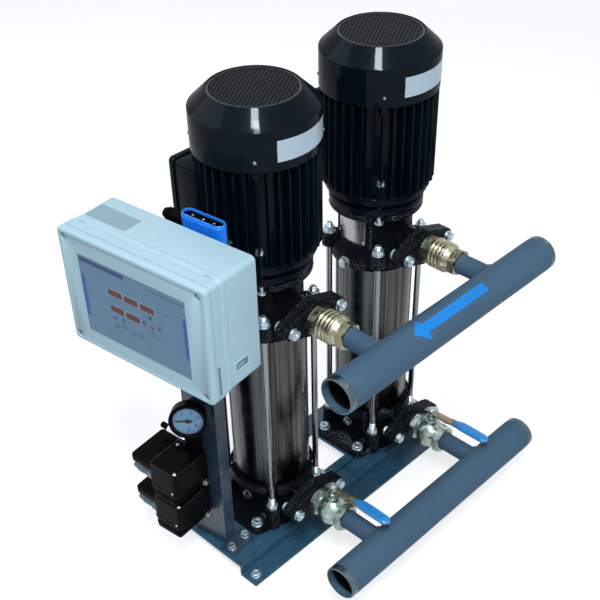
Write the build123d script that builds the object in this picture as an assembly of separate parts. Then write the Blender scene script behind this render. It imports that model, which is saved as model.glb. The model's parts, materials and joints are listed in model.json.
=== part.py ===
from build123d import *
import os
from math import asin, cos, degrees, radians, sin

# Twin booster pump set: two vertical multistage pumps on a folded steel base, a suction and a
# discharge manifold on the +X side, and a post at the front with the controls.
# Millimetres, +Z up. The origin is on the floor, at the centre of the four anchor holes.
# The pumps stand in a row along Y, and each is drawn about its own axis from its foot plane up.

# Base
deck_height = 25.0
base_plate = 4.0
deck_width = 170.0
anchor_flange = 35.0
front_overhang = 163.0
rear_overhang = 117.0
pump_pitch = 270.0
anchor_hole_r = 5.5
anchor_inset = 17.0
window_left = 60.0
window_right = 26.0
window_margin = 100.0

# Pump hydraulics
foot_plate = 16.0
foot_bolt_x = 43.0
foot_bolt_y = 83.0
foot_lug_r = 13.0
foot_hole_r = 6.0
suction_height = 68.0
sleeve_bottom = 91.0
sleeve_length = 322.0
sleeve_r = 68.0
sleeve_wall = 1.5
casting_rim_r = 76.0
casting_wall = 8.0
spigot_height = 6.0
rod_circle_r = 79.0
rod_r = 6.0
rod_lug_r = 13.0
rod_end_depth = 26.0
nut_across = 18.0
nut_height = 10.0
spanner_room = 3.0
foot_lug_top = 45.0
head_lug_top = 37.0
head_lug_depth = 25.0
foot_skirt_r = 70.0
foot_waist_r = 62.0
foot_waist_bottom = 30.0
foot_waist_top = 62.0
foot_rim_depth = 17.0
head_rim_depth = 16.0
casting_mouth_r = 56.0
foot_hollow_r = 50.0
foot_bearing_r = 15.0
foot_bearing_height = 22.0
foot_relief = 2.0
port_root_x = 40.0
riser_r = 11.0
riser_wall = 10.0
head_crown_r = 40.0
head_crown_drop = 12.0
plug_across = 17.0
plug_height = 8.0
vent_rise = 8.0
drain_height = 46.0
port_above_head = 50.0
port_boss_r = 22.0
port_bore_r = 16.0
port_face_x = 104.0
port_flange_t = 12.0
flange_bolt_y = 52.0
flange_lug_r = 13.0
flange_centre_r = 30.0
flange_hole_r = 5.5
stage_count = 6
impeller_r = 50.0
impeller_eye_r = 22.0
impeller_height = 12.0
impeller_start = 20.0
shroud = 1.6
hub_r = 13.0
hub_length = 20.0
chamber_wall = 2.0
vane_height = 12.0
pump_shaft_r = 8.0
seal_r = 22.0

# Lantern between the pump head and the motor
stool_r = 64.0
stool_height = 109.0
stool_flange_r = 80.0
stool_flange_t = 10.0
window_half_angle = 34.0
window_turn = -8.0
lantern_window_height = 60.0
lantern_sill = 4.0
seal_plate_t = 5.0
guard_sheet = 1.2
coupling_r = 23.0
coupling_length = 54.0
coupling_drop = 4.0
shaft_reach = 28.0
shaft_gap = 2.0
motor_bolt_circle = 72.5
motor_bolt_r = 4.0
motor_bolt_length = 24.0

# Motor
motor_flange_t = 28.0
shield_rim_t = 12.0
shield_neck_r = 72.0
shield_step = 4.0
frame_ring_r = 86.0
motor_shaft_r = 12.5
shaft_shoulder_r = 16.0
fan_shaft_r = 9.0
fan_shaft_length = 28.0
fan_seat_rise = 8.0
bearing_r = 26.0
bearing_width = 15.0
frame_length = 184.0
frame_bore_r = 70.0
frame_wall = 8.0
fin_tip_r = 95.0
fin_thickness = 3.0
fin_count = 36
fin_gap_angle = 34.0
frame_foot = 10.0
frame_foot_r = 88.0
frame_boss_circle = 83.0
frame_boss_r = 9.0
frame_boss_height = 34.0
stator_bore_r = 45.0
air_gap = 0.6
core_length = 96.0
core_drop = 6.0
winding_r = 64.0
winding_height = 18.0
cover_r = 96.0
cover_skirt = 50.0
cover_cone = 23.0
grille_r = 67.0
cover_sheet = 1.6
cover_lap = 12.0
cover_boss_r = 8.0
cover_boss_length = 22.0
cover_boss_drop = 26.0
rim_roll = 2.0
fan_r = 78.0
fan_blades = 7
fan_sheet = 2.0
fan_hub_r = 16.0
fan_hub_length = 26.0
fan_blade_height = 24.0
terminal_inner = 90.0
terminal_pad = 30.0
terminal_pad_margin = 10.0
terminal_hole_r = 6.0
terminal_gland_across = 20.0
terminal_gland_height = 8.0
terminal_reach = 147.0
terminal_width = 100.0
terminal_height = 100.0
terminal_lid_t = 12.0
terminal_rise = 15.0

# Pipework
pipe_r = 30.15
pipe_wall = 3.2
turned_depth = 0.3
turned_length = 12.0
manifold_length = 500.0
suction_x = 272.0
discharge_x = 262.0
branch_r = 16.85
branch_wall = 2.6
valve_length = 70.0
valve_hex = 46.0
valve_barrel_r = 25.0
ball_valve_end = 14.0
check_valve_end = 16.0
valve_bore_r = 14.0
ball_r = 20.0
stem_r = 5.0
stem_boss_r = 11.0
stem_boss_height = 36.0
lever_height = 57.0
lever_sleeve_t = 9.0
lever_drop = 7.0
lever_tail = 12.0
lever_start = 43.0
lever_sleeve = 80.0
lever_width = 16.0
lever_plate = 3.0
poppet_r = 13.0
poppet_stem_r = 3.0
poppet_stem_length = 40.0
poppet_seat = 14.0
guide_length = 8.0

# Control column, drawn from the foot of the post's front face
column_x = -5.0
column_turn = 6.5
post_left = 39.0
post_right = 33.0
post_depth = 19.0
post_sheet = 3.0
post_height = 628.0
post_tab = 30.0
tab_depth = 56.0
tab_middle = 16.0
tab_bolt_pitch = 36.0
post_bolt_r = 4.0
shelf_right = 66.0
shelf_depth = 34.0
panel_width = 275.0
panel_height = 193.0
panel_depth = 108.0
panel_bottom = 456.0
panel_wall = 3.0
panel_corner_r = 9.0
lid_depth = 30.0
face_width = 204.0
face_height = 134.0
face_t = 1.0
switch_width = 97.0
switch_depth = 82.0
switch_height = 71.0
switch_bottom = 69.0
switch_pitch = 76.0
switch_left = 87.0
switch_port_x = -18.0
bar_width = 20.0
bar_x = -12.0
bar_rise = 3.0
bar_over_gauge = 10.0
port_r = 6.0
port_nut = 19.0
gauge_r = 31.0
gauge_depth = 24.0
gauge_reach = 40.0
gauge_rise = 87.0
gauge_azimuth = 38.0
gauge_tilt = 10.0
needle_length = 21.0
sensor_length = 60.0
sensor_r = 8.5
sensor_rise = 14.0
sensor_tilt = 4.0
inlet_length = 78.0
inlet_depth = 22.0
inlet_height = 32.0
inlet_wall = 3.0

# Clearances
running = 0.05
slip = 0.02
loose = 0.5
soft_gap = 0.3

# Worked out from the values above
base_length = front_overhang + pump_pitch + rear_overhang
front_pump_y = -base_length / 2 + front_overhang
rear_pump_y = front_pump_y + pump_pitch
column_y = front_pump_y - 149.0
half_deck = deck_width / 2
head_bottom = sleeve_bottom + sleeve_length
discharge_height = head_bottom + port_above_head
motor_seat = head_bottom + stool_height
frame_bottom = motor_seat + motor_flange_t
frame_top = frame_bottom + frame_length
terminal_bottom = frame_bottom + terminal_rise
cover_top = frame_top + cover_skirt + cover_cone
stage_pitch = (sleeve_length - 2 * spigot_height) / stage_count
valve_start = port_face_x + port_flange_t
valve_end = valve_start + valve_length
window_top = motor_seat - stool_flange_t
window_bottom = window_top - lantern_window_height
lantern_floor = window_bottom - lantern_sill
switches_top = switch_bottom + switch_pitch + switch_height
sensor_height = switches_top + sensor_rise
gauge_height = switches_top + gauge_rise
bar_bottom = switches_top + bar_rise
bar_top = gauge_height + bar_over_gauge

ON_FLOOR = (Align.CENTER, Align.CENTER, Align.MIN)
DIAGONALS = (45, 135, 225, 315)


def rod(r, length, x=0.0, y=0.0, z=0.0):
    """A round bar that stands on z."""
    return Pos(x, y, z) * Cylinder(r, length, align=ON_FLOOR)


def ring(r, bore, length, z=0.0):
    """A round bar with a hole along it."""
    return rod(r, length, z=z) - rod(bore, length, z=z)


def block(x, y, z, x0=0.0, y0=0.0, z0=0.0):
    """A box centred on x0, y0 that stands on z0."""
    return Pos(x0, y0, z0) * Box(x, y, z, align=ON_FLOOR)


def turned(*points):
    """A solid of revolution about Z from radius and height pairs."""
    return revolve(Plane.XZ * make_face(Polyline(*points, close=True)), Axis.Z)


def to_x(shape, x=0.0, z=0.0):
    """Lays something drawn along +Z down along +X."""
    return Pos(x, 0, z) * Rot(0, 90, 0) * shape


def to_y(shape):
    """Lays something drawn along +Z down along +Y."""
    return Rot(-90, 0, 0) * shape


def hexagon(across, length, z=0.0):
    """A hexagonal bar that stands on z."""
    return Pos(0, 0, z) * extrude(RegularPolygon(across / 2, 6, major_radius=False), length)


def diagonal_spots(r):
    """The four places on a circle of radius r that lie between the axes."""
    return [(r * cos(radians(a)), r * sin(radians(a))) for a in DIAGONALS]


def oval_plate(thickness, bore, z=0.0):
    """Two-bolt oval flange in the XY plane, with its bolts along Y."""
    lugs = [Pos(0, s * flange_bolt_y) * Circle(flange_lug_r) for s in (1, -1)]
    outline = make_hull((Circle(flange_centre_r) + lugs[0] + lugs[1]).edges())
    holes = [Pos(0, s * flange_bolt_y) * Circle(flange_hole_r) for s in (1, -1)]
    plate = outline - Circle(bore) - holes[0] - holes[1]
    return Pos(0, 0, z) * extrude(plate, thickness)


# Base


def base_pan():
    """Folded pan: deck, two sides and two outward anchor flanges, with a window between the pumps."""
    t = base_plate
    edge = half_deck + anchor_flange
    outline = [
        (-edge, 0), (-half_deck + t, 0), (-half_deck + t, deck_height - t),
        (half_deck - t, deck_height - t), (half_deck - t, 0), (edge, 0),
        (edge, t), (half_deck, t), (half_deck, deck_height),
        (-half_deck, deck_height), (-half_deck, t), (-edge, t),
    ]
    pan = extrude(Plane.XZ * make_face(Polyline(*outline, close=True)), base_length / 2, both=True)
    window_length = pump_pitch - 2 * window_margin
    middle = (window_right - window_left) / 2
    gap_y = (front_pump_y + rear_pump_y) / 2
    pan -= block(window_left + window_right, window_length, deck_height, middle, gap_y, t)
    anchor_x = half_deck + anchor_flange / 2
    anchor_y = base_length / 2 - anchor_inset
    for sx in (1, -1):
        for sy in (1, -1):
            pan -= rod(anchor_hole_r, t, sx * anchor_x, sy * anchor_y)
    for y in (front_pump_y, rear_pump_y):
        for sx in (1, -1):
            for sy in (1, -1):
                place = (sx * foot_bolt_x, y + sy * foot_bolt_y)
                pan -= rod(foot_hole_r, deck_height, *place, z=t)
    for spot in post_bolt_spots():
        pan -= on_column(rod(post_bolt_r + loose, 3 * t, *spot, z=-2 * t))
    return pan


# Pump


def port(height, inner_end):
    """Side port along +X with its oval face, as a pair: the metal and the bore to cut."""
    boss = to_x(rod(port_boss_r, port_face_x - inner_end), inner_end, height)
    face = to_x(oval_plate(port_flange_t, port_bore_r), port_face_x - port_flange_t, height)
    bore = to_x(rod(port_bore_r, port_face_x - inner_end + 10), inner_end - 10, height)
    return boss + face, bore


def rod_lugs(top, depth):
    """Four lugs round the casting that the tie rods pass through."""
    lug = rod(rod_lug_r, depth, rod_circle_r, 0, top - depth)
    lug += block(rod_circle_r, 2 * rod_lug_r, depth, rod_circle_r / 2, 0, top - depth)
    first, *others = [Rot(0, 0, a) * lug for a in DIAGONALS]
    return first + others


def rod_grooves(bottom, height):
    """What the tie rods need clear of the casting."""
    return [rod(rod_r + loose, height, x, y, bottom) for x, y in diagonal_spots(rod_circle_r)]


def pump_foot():
    """Cast foot: bolting plate, round body, suction port and lugs for the tie rods."""
    spots = [(sx * foot_bolt_x, sy * foot_bolt_y) for sx in (1, -1) for sy in (1, -1)]
    pads = Circle(casting_rim_r)
    for x, y in spots:
        pads += Pos(x, y) * Circle(foot_lug_r)
    foot = extrude(make_hull(pads.edges()), foot_plate)
    rim_bottom = sleeve_bottom - foot_rim_depth
    spigot_top = sleeve_bottom + spigot_height
    body = turned((0, 0), (foot_skirt_r, 0), (foot_waist_r, foot_waist_bottom),
                  (foot_waist_r, foot_waist_top), (casting_rim_r, rim_bottom),
                  (casting_rim_r, sleeve_bottom), (0, sleeve_bottom))
    spigot = rod(sleeve_r - sleeve_wall - soft_gap, spigot_height, z=sleeve_bottom)
    metal, bore = port(suction_height, port_root_x)
    foot += body + spigot + rod_lugs(foot_lug_top, foot_lug_top - foot_relief) + metal
    widening = casting_mouth_r - foot_hollow_r
    hollow = turned((0, foot_plate), (foot_hollow_r, foot_plate), (foot_hollow_r, rim_bottom + 4),
                    (casting_mouth_r, rim_bottom + 4 + widening), (casting_mouth_r, spigot_top),
                    (0, spigot_top))
    foot -= hollow + bore
    foot += ring(foot_bearing_r, pump_shaft_r + running, foot_bearing_height, foot_plate)
    for x, y in spots:
        foot -= rod(foot_hole_r, foot_plate, x, y)
        foot -= rod(foot_lug_r + 1, sleeve_bottom, x, y, foot_plate)
    for groove in rod_grooves(foot_lug_top - rod_end_depth - foot_relief, sleeve_bottom):
        foot -= groove
    for x, y in diagonal_spots(rod_circle_r):
        foot -= rod(nut_across / 2 + spanner_room, sleeve_bottom, x, y, foot_lug_top)
    return foot


def pump_head():
    """Cast head and lantern: discharge port, seal plate, tie-rod lugs and two windows."""
    rim_top = head_bottom + head_rim_depth
    spigot_bottom = head_bottom - spigot_height
    lug_top = head_bottom + head_lug_top
    plate_bottom = lantern_floor - seal_plate_t
    inner_r = stool_r - casting_wall
    rim = turned((0, head_bottom), (casting_rim_r, head_bottom), (casting_rim_r, rim_top),
                 (stool_r, lantern_floor), (stool_r, motor_seat), (0, motor_seat))
    spigot = rod(sleeve_r - sleeve_wall - soft_gap, spigot_height, z=spigot_bottom)
    top = rod(stool_flange_r, stool_flange_t, z=window_top)
    metal, bore = port(discharge_height, port_root_x)
    head = rim + spigot + top + metal + rod_lugs(lug_top, head_lug_depth)
    head -= rod(inner_r, motor_seat, z=lantern_floor)
    passage_r = riser_r + riser_wall
    passage_x = inner_r - riser_wall
    passage_top = discharge_height + passage_r - lantern_floor
    passage = rod(passage_r, passage_top, passage_x, 0, lantern_floor)
    head += passage & rod(stool_r, passage_top, z=lantern_floor)
    head -= turned((0, spigot_bottom), (casting_mouth_r, spigot_bottom),
                   (casting_mouth_r, plate_bottom - head_crown_drop), (head_crown_r, plate_bottom),
                   (0, plate_bottom))
    riser_bottom = plate_bottom - 2 * riser_wall
    head -= rod(riser_r, discharge_height - riser_bottom, passage_x, 0, riser_bottom)
    head -= bore - rod(passage_x - riser_r, 2 * stool_r, z=discharge_height - stool_r)
    head -= rod(seal_r, seal_plate_t + 2, z=plate_bottom - 1)
    window = Pos(0, 0, window_bottom) * extrude(
        wedge(stool_r + 20, window_half_angle), lantern_window_height)
    for side in (90, 270):
        head -= Rot(0, 0, side + window_turn) * window
    for groove in rod_grooves(head_bottom - 10, head_lug_top + 10):
        head -= groove
    for x, y in diagonal_spots(rod_circle_r):
        head -= rod(nut_across / 2 + spanner_room, motor_seat, x, y, lug_top)
    for x, y in diagonal_spots(motor_bolt_circle):
        head -= rod(motor_bolt_r + loose, stool_flange_t, x, y, window_top)
    return head


def wedge(r, half_angle):
    """A flat sector of radius r about +X."""
    a = radians(half_angle)
    corner = (r * cos(a), r * sin(a))
    mirror_corner = (r * cos(a), -r * sin(a))
    return make_face(Polyline((0, 0), corner, (r / cos(a), 0), mirror_corner, close=True))


def coupling_guards():
    """Two curved stainless sheets that close the lantern windows."""
    inner = stool_r - casting_wall / 2
    sector = wedge(stool_r + 20, window_half_angle - degrees(asin(soft_gap / inner)))
    height = lantern_window_height - 2 * soft_gap
    bottom = window_bottom + soft_gap
    sheet = ring(inner + guard_sheet, inner, height, bottom)
    guard = sheet & (Pos(0, 0, bottom) * extrude(sector, height))
    return [Rot(0, 0, side + window_turn) * guard for side in (90, 270)]


def sleeve():
    """Stainless outer sleeve, clamped between the foot and the head."""
    return ring(sleeve_r, sleeve_r - sleeve_wall, sleeve_length, sleeve_bottom)


def tie_rods():
    """Four studs with a nut at each end."""
    low = foot_lug_top
    high = head_bottom + head_lug_top
    stud_bottom = low - rod_end_depth
    stud_top = high + nut_height + spanner_room + 5
    parts = []
    for x, y in diagonal_spots(rod_circle_r):
        stud = rod(rod_r, stud_top - stud_bottom, x, y, stud_bottom)
        for nut_z in (low, high):
            stud += Pos(x, y) * hexagon(nut_across, nut_height, nut_z)
        parts.append(stud)
    return parts


def chambers():
    """Stack of stage chambers, each a cup with a bushed floor and guide vanes under it."""
    outer = sleeve_r - sleeve_wall - 2 * soft_gap - 2
    parts = []
    for stage in range(stage_count):
        z = sleeve_bottom + spigot_height + stage * stage_pitch
        floor_bottom = z + stage_pitch - chamber_wall
        cup = ring(outer, outer - chamber_wall, stage_pitch, z)
        cup += ring(outer, pump_shaft_r + loose, chamber_wall, floor_bottom)
        for spoke in range(6):
            vane = block(outer - 24, chamber_wall, vane_height, (outer + 20) / 2, 8,
                         floor_bottom - vane_height)
            cup += Rot(0, 0, spoke * 60) * vane
        parts.append(cup)
    return parts


def impeller_blades(z, height):
    """Backward-curved blades between the two shrouds of an impeller."""
    line = ThreePointArc((16, 0), (34, 9), (impeller_r - 1, 30))
    blade = extrude(Pos(0, 0, z) * trace(line, shroud), height) & rod(impeller_r, height, z=z)
    first, *others = [Rot(0, 0, 60 * k) * blade for k in range(6)]
    return first + others


def impeller_shaft():
    """Pump shaft with one closed impeller to each stage."""
    bottom = foot_plate + 4
    top = motor_seat - shaft_reach - shaft_gap
    parts = [rod(pump_shaft_r, top - bottom, z=bottom)]
    for stage in range(stage_count):
        low = sleeve_bottom + spigot_height + stage * stage_pitch + impeller_start
        high = low + impeller_height
        hub = ring(hub_r, pump_shaft_r + slip, hub_length, high - hub_length)
        back = ring(impeller_r, pump_shaft_r + slip, shroud, high - shroud)
        front = ring(impeller_r, impeller_eye_r, shroud, low)
        blades = impeller_blades(low + shroud, impeller_height - 2 * shroud)
        parts.append(hub + back + front + blades)
    return parts


def shaft_seal():
    """Cartridge seal in the seal plate."""
    body = ring(seal_r, pump_shaft_r + loose, seal_plate_t, lantern_floor - seal_plate_t)
    return body + ring(seal_r + 2, pump_shaft_r + loose, 5, lantern_floor)


# Motor


def motor_flange():
    """Drive-end shield with its bearing housing, bolted to the lantern."""
    z = motor_seat
    top = z + motor_flange_t
    shield = turned((0, z), (stool_flange_r, z), (stool_flange_r, z + shield_rim_t),
                    (shield_neck_r, z + shield_rim_t + shield_step), (shield_neck_r, top - 2 * shield_step),
                    (frame_ring_r, top - shield_step), (frame_ring_r, top), (0, top))
    shield -= rod(motor_shaft_r + loose, motor_flange_t, z=z)
    shield -= rod(bearing_r, bearing_width, z=top - bearing_width)
    for x, y in diagonal_spots(motor_bolt_circle):
        shield -= rod(motor_bolt_r + loose, motor_bolt_length - stool_flange_t + 1, x, y, z)
    return shield


def fin_outline():
    """Cross-section of the frame: a round barrel with cooling fins, open towards the terminal box."""
    section = Circle(frame_bore_r + frame_wall)
    for k in range(fin_count):
        angle = (k + 0.5) * 360 / fin_count
        if abs(angle - 180) < fin_gap_angle:
            continue
        length = fin_tip_r - frame_bore_r - 2
        fin = Pos(frame_bore_r + 2 + length / 2, 0) * Rectangle(length, fin_thickness)
        section += Rot(0, 0, angle) * fin
    return section - Circle(frame_bore_r)


def motor_frame():
    """Finned aluminium frame with its end web, pads for the terminal box and bosses for the bolts."""
    end_ring = cover_lap + 2
    web_t = bearing_width + 3
    barrel = extrude(fin_outline(), frame_length - frame_foot - end_ring)
    low = ring(frame_foot_r, frame_bore_r, frame_foot, frame_bottom)
    high = ring(frame_ring_r, frame_bore_r, end_ring, frame_top - end_ring)
    web = ring(frame_bore_r, bearing_r, web_t, frame_top - web_t)
    frame = Pos(0, 0, frame_bottom + frame_foot) * barrel + low + high + web
    margin = terminal_pad_margin
    pad = block(terminal_pad, terminal_width - 2 * margin, terminal_height - 2 * margin,
                terminal_pad / 2 - terminal_inner, 0, terminal_bottom + margin)
    frame += pad - rod(frame_bore_r, frame_top, z=frame_bottom)
    for x, y in diagonal_spots(frame_boss_circle):
        frame += rod(frame_boss_r, frame_boss_height, x, y, frame_bottom)
    for x, y in diagonal_spots(cover_r - cover_sheet - cover_boss_r):
        frame += rod(cover_boss_r, cover_boss_length, x, y, frame_top - cover_boss_drop)
    return frame


def core_ends():
    """Bottom and top of the laminated cores of stator and rotor."""
    mid = (frame_bottom + frame_top) / 2 - core_drop
    return mid - core_length / 2, mid + core_length / 2


def stator():
    """Laminated stator with its two winding heads."""
    low, high = core_ends()
    bottom = low - winding_height
    top = high + winding_height
    head_in = stator_bore_r + 5
    return turned((stator_bore_r, low), (head_in, low), (head_in, bottom), (winding_r, bottom),
                  (winding_r, low), (frame_bore_r, low), (frame_bore_r, high), (winding_r, high),
                  (winding_r, top), (head_in, top), (head_in, high), (stator_bore_r, high))


def rotor():
    """Rotor core on the motor shaft, stepped at both bearings."""
    low, high = core_ends()
    core_r = stator_bore_r - air_gap
    journal = motor_shaft_r - running
    shoulder = shaft_shoulder_r
    bottom = motor_seat - shaft_reach
    drive_step = frame_bottom + 2
    fan_step = frame_top - bearing_width - 5
    fan_seat = frame_top + fan_seat_rise
    end = fan_seat + fan_shaft_length
    return turned((0, bottom), (journal, bottom), (journal, drive_step), (shoulder, drive_step),
                  (shoulder, low), (core_r, low), (core_r, high), (shoulder, high), (shoulder, fan_step),
                  (journal, fan_step), (journal, fan_seat), (fan_shaft_r, fan_seat),
                  (fan_shaft_r, end), (0, end))


def bearings():
    """Ball bearings of the motor, drawn as rings: drive end and fan end."""
    low = ring(bearing_r, motor_shaft_r, bearing_width, motor_seat + motor_flange_t - bearing_width)
    high = ring(bearing_r, motor_shaft_r, bearing_width, frame_top - bearing_width)
    return [low, high]


def fan():
    """Radial cooling fan keyed to the end of the shaft."""
    z = frame_top + fan_seat_rise + 1
    bore = fan_shaft_r + slip
    wheel = ring(fan_r - 8, bore, fan_sheet, z) + ring(fan_hub_r, bore, fan_hub_length, z)
    blade = block(fan_r - 14, fan_sheet, fan_blade_height, (fan_r + 14) / 2, 0, z)
    for k in range(fan_blades):
        wheel += Rot(0, 0, k * 360 / fan_blades) * blade
    return wheel


def fan_cover():
    """Pressed cowl: straight skirt, cone and a flat round grille with a rolled rim."""
    t = cover_sheet
    low = frame_top - cover_lap
    shoulder = frame_top + cover_skirt
    plate = cover_top - rim_roll
    outer = [(cover_r, low), (cover_r, shoulder - 2 * rim_roll), (cover_r - rim_roll, shoulder),
             (grille_r + 3, cover_top), (grille_r, cover_top), (grille_r, plate), (0, plate)]
    inner = [(0, plate - t), (grille_r - rim_roll, plate - t),
             (cover_r - 3 - t, shoulder - rim_roll), (cover_r - t, shoulder - 3 * rim_roll),
             (cover_r - t, low)]
    return turned(*outer, *inner)


def terminal_box():
    """Terminal box on the -X side of the motor: body, lid and a cable gland under it."""
    depth = terminal_reach - terminal_lid_t - terminal_inner
    x = -terminal_inner - depth / 2
    mid_z = terminal_bottom + terminal_height / 2
    floor_t = 4.0
    side = 5.0
    lip = 2.0
    body = Pos(x, 0, mid_z) * Box(depth, terminal_width, terminal_height)
    body = fillet(body.edges().filter_by(Axis.X), 8)
    hollow = Pos(x - floor_t / 2, 0, mid_z) * Box(
        depth - floor_t, terminal_width - 2 * side, terminal_height - 2 * side)
    body -= hollow + rod(terminal_hole_r, 20, x, 0, terminal_bottom - 10)
    lid = Pos(-terminal_reach + terminal_lid_t / 2, 0, mid_z) * Box(
        terminal_lid_t, terminal_width + 2 * lip, terminal_height + 2 * lip)
    lid = fillet(lid.edges().filter_by(Axis.X), 9)
    lid = chamfer(lid.faces().sort_by(Axis.X)[0].edges(), 4)
    nut_bottom = terminal_bottom - 4 - terminal_gland_height
    gland = rod(terminal_hole_r - soft_gap, 12, x, 0, terminal_bottom - 4)
    gland += Pos(x, 0) * hexagon(terminal_gland_across, terminal_gland_height, nut_bottom)
    gland += rod(9, 8, x, 0, nut_bottom - 8)
    return [body, lid, gland]


def coupling():
    """Split clamp coupling on the two shaft ends."""
    high = motor_seat - coupling_drop
    low = high - coupling_length
    meet = motor_seat - shaft_reach - shaft_gap / 2
    whole = rod(coupling_r, coupling_length, z=low)
    whole -= rod(pump_shaft_r + slip, meet - low, z=low)
    whole -= rod(motor_shaft_r - running + slip, high - meet, z=meet)
    split = loose
    reach = coupling_r + 3
    half = whole & block(reach, 2 * reach + 8, high, split + reach / 2)
    return [half, Rot(0, 0, 180) * half]


# Valves


def ball_valve():
    """Body of the suction ball valve: two hexagon ends, a round belly and a stem boss."""
    end = ball_valve_end
    mid = valve_start + valve_length / 2
    body = to_x(hexagon(valve_hex, end) + hexagon(valve_hex, end, valve_length - end), valve_start)
    body += to_x(rod(valve_barrel_r - 3, valve_length), valve_start)
    body += Pos(mid, 0, 0) * Sphere(valve_barrel_r + 3)
    body += rod(stem_boss_r, stem_boss_height, mid)
    body -= to_x(rod(valve_bore_r, valve_length), valve_start)
    body -= Pos(mid, 0, 0) * Sphere(ball_r + soft_gap)
    body -= rod(stem_r + running, stem_boss_height + 4, mid)
    return Pos(0, 0, suction_height) * body


def valve_lever():
    """Lever with its blue sleeve, and the ball and stem that it turns."""
    stem_x = valve_start + valve_length / 2
    top = lever_height - lever_drop
    stem_bottom = ball_r - 3
    ball = Sphere(ball_r) - to_x(rod(valve_bore_r, 2 * ball_r + 2), -ball_r - 1)
    ball += rod(stem_r, top + 5 - stem_bottom, 0, 0, stem_bottom)
    ball += hexagon(13, 5, top + lever_plate)
    plate_length = lever_start + 6 + lever_tail
    plate = block(plate_length, lever_width, lever_plate, plate_length / 2 - lever_tail, 0, top)
    plate = fillet(plate.edges().filter_by(Axis.Z), 6)
    plate -= rod(stem_r + slip, lever_plate, 0, 0, top)
    crank = Pos(lever_start + 2, 0, top + 4) * Rot(0, -55, 0) * Box(14, lever_width, lever_plate)
    sleeve_part = Pos(lever_start + 4 + lever_sleeve / 2, 0, lever_height) * Box(
        lever_sleeve, lever_width + 4, lever_sleeve_t)
    sleeve_part = fillet(sleeve_part.edges().filter_by(Axis.X), 4)
    lever = plate + crank + sleeve_part
    return [Pos(stem_x, 0, suction_height) * piece for piece in (ball, lever)]


def check_valve():
    """Brass check valve on the discharge port, with its seat and the guide for the poppet."""
    end = check_valve_end
    body = hexagon(valve_hex, end) + hexagon(valve_hex, end, valve_length - end)
    body += rod(valve_barrel_r, valve_length - 2 * end, z=end)
    for k in range(3):
        body += rod(valve_barrel_r + 1.2, 3, z=end + 5 + k * 12)
    body -= rod(poppet_r + 4, valve_length - end, z=poppet_seat)
    body -= rod(poppet_r - 3, valve_length)
    guide_z = valve_length - end - 6
    guide_bore_r = poppet_stem_r + running
    spider = ring(poppet_stem_r + 4, guide_bore_r, guide_length, guide_z)
    spider += block(2 * (poppet_r + 5), 4, 4, 0, 0, guide_z) - rod(guide_bore_r, guide_length, z=guide_z)
    body += spider
    return to_x(body, valve_start, discharge_height)


def check_poppet():
    """Poppet of the check valve on its guide stem."""
    seat = poppet_seat
    tail = seat + poppet_stem_length
    disc = turned((0, seat), (poppet_r - 1, seat), (poppet_r, seat + 1), (poppet_r, seat + 4),
                  (poppet_stem_r, seat + 8), (poppet_stem_r, tail), (0, tail))
    return to_x(Pos(0, 0, soft_gap) * disc, valve_start, discharge_height)


# Pipework


def manifold(x, height):
    """Straight pipe along Y with turned ends and one welded branch to each pump."""
    centre = (front_pump_y + rear_pump_y) / 2
    start = -manifold_length / 2
    along_y = Pos(x, centre, height)
    pipe = along_y * to_y(rod(pipe_r, manifold_length, z=start))
    for y in (front_pump_y, rear_pump_y):
        pipe += Pos(0, y, 0) * to_x(rod(branch_r, x - valve_end), valve_end, height)
    pipe -= along_y * to_y(rod(pipe_r - pipe_wall, manifold_length, z=start))
    for y in (front_pump_y, rear_pump_y):
        pipe -= Pos(0, y, 0) * to_x(rod(branch_r - branch_wall, x - valve_end), valve_end, height)
    turned_skin = ring(pipe_r + pipe_wall, pipe_r - turned_depth, turned_length, start)
    for end in (0, 180):
        pipe -= along_y * Rot(0, 0, end) * to_y(turned_skin)
    return pipe


def port_flanges():
    """Loose oval flanges that carry the valves on all four pump ports."""
    parts = []
    for y in (front_pump_y, rear_pump_y):
        for height in (suction_height, discharge_height):
            plate = to_x(oval_plate(port_flange_t, port_bore_r), port_face_x, deck_height + height)
            parts.append(Pos(0, y, 0) * plate)
    return parts


def port_bolts():
    """Bolts with nuts through the oval flanges."""
    grip = 2 * port_flange_t
    head_height = 7.0
    shank = rod(flange_hole_r - loose, grip + 10)
    bolt = shank + hexagon(16, head_height, -head_height) + hexagon(16, head_height + 1, grip)
    parts = []
    for y in (front_pump_y, rear_pump_y):
        for height in (suction_height, discharge_height):
            for s in (1, -1):
                placed = to_x(Rot(0, 0, 90) * bolt, port_face_x - port_flange_t, deck_height + height)
                parts.append(Pos(0, y + s * flange_bolt_y, 0) * placed)
    return parts


def deck_bolt(grip, across, r):
    """Bolt through the deck, drawn from the face that its head bears on."""
    washer_t = 2.0
    below = 12.0
    shank = rod(r, grip + below, z=-grip - below)
    return shank + rod(across * 0.62, washer_t) + hexagon(across, 7, washer_t)


def deck_bolts():
    """Bolts that hold the pump feet and the post down on the deck."""
    parts = []
    for y in (front_pump_y, rear_pump_y):
        for sx in (1, -1):
            for sy in (1, -1):
                place = Pos(sx * foot_bolt_x, y + sy * foot_bolt_y, deck_height + foot_plate)
                parts.append(place * deck_bolt(foot_plate + base_plate, 17, foot_hole_r - loose))
    for x, y in post_bolt_spots():
        bolt = deck_bolt(post_sheet + base_plate, 13, post_bolt_r)
        parts.append(on_column(Pos(x, y, post_sheet) * bolt))
    return parts


def motor_bolts():
    """Screws through the motor flange and the lantern."""
    parts = []
    for y in (front_pump_y, rear_pump_y):
        for x0, y0 in diagonal_spots(motor_bolt_circle):
            screw = rod(motor_bolt_r, motor_bolt_length) + hexagon(13, 6, -6)
            parts.append(Pos(x0, y + y0, deck_height + motor_seat - stool_flange_t) * screw)
    return parts


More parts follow.
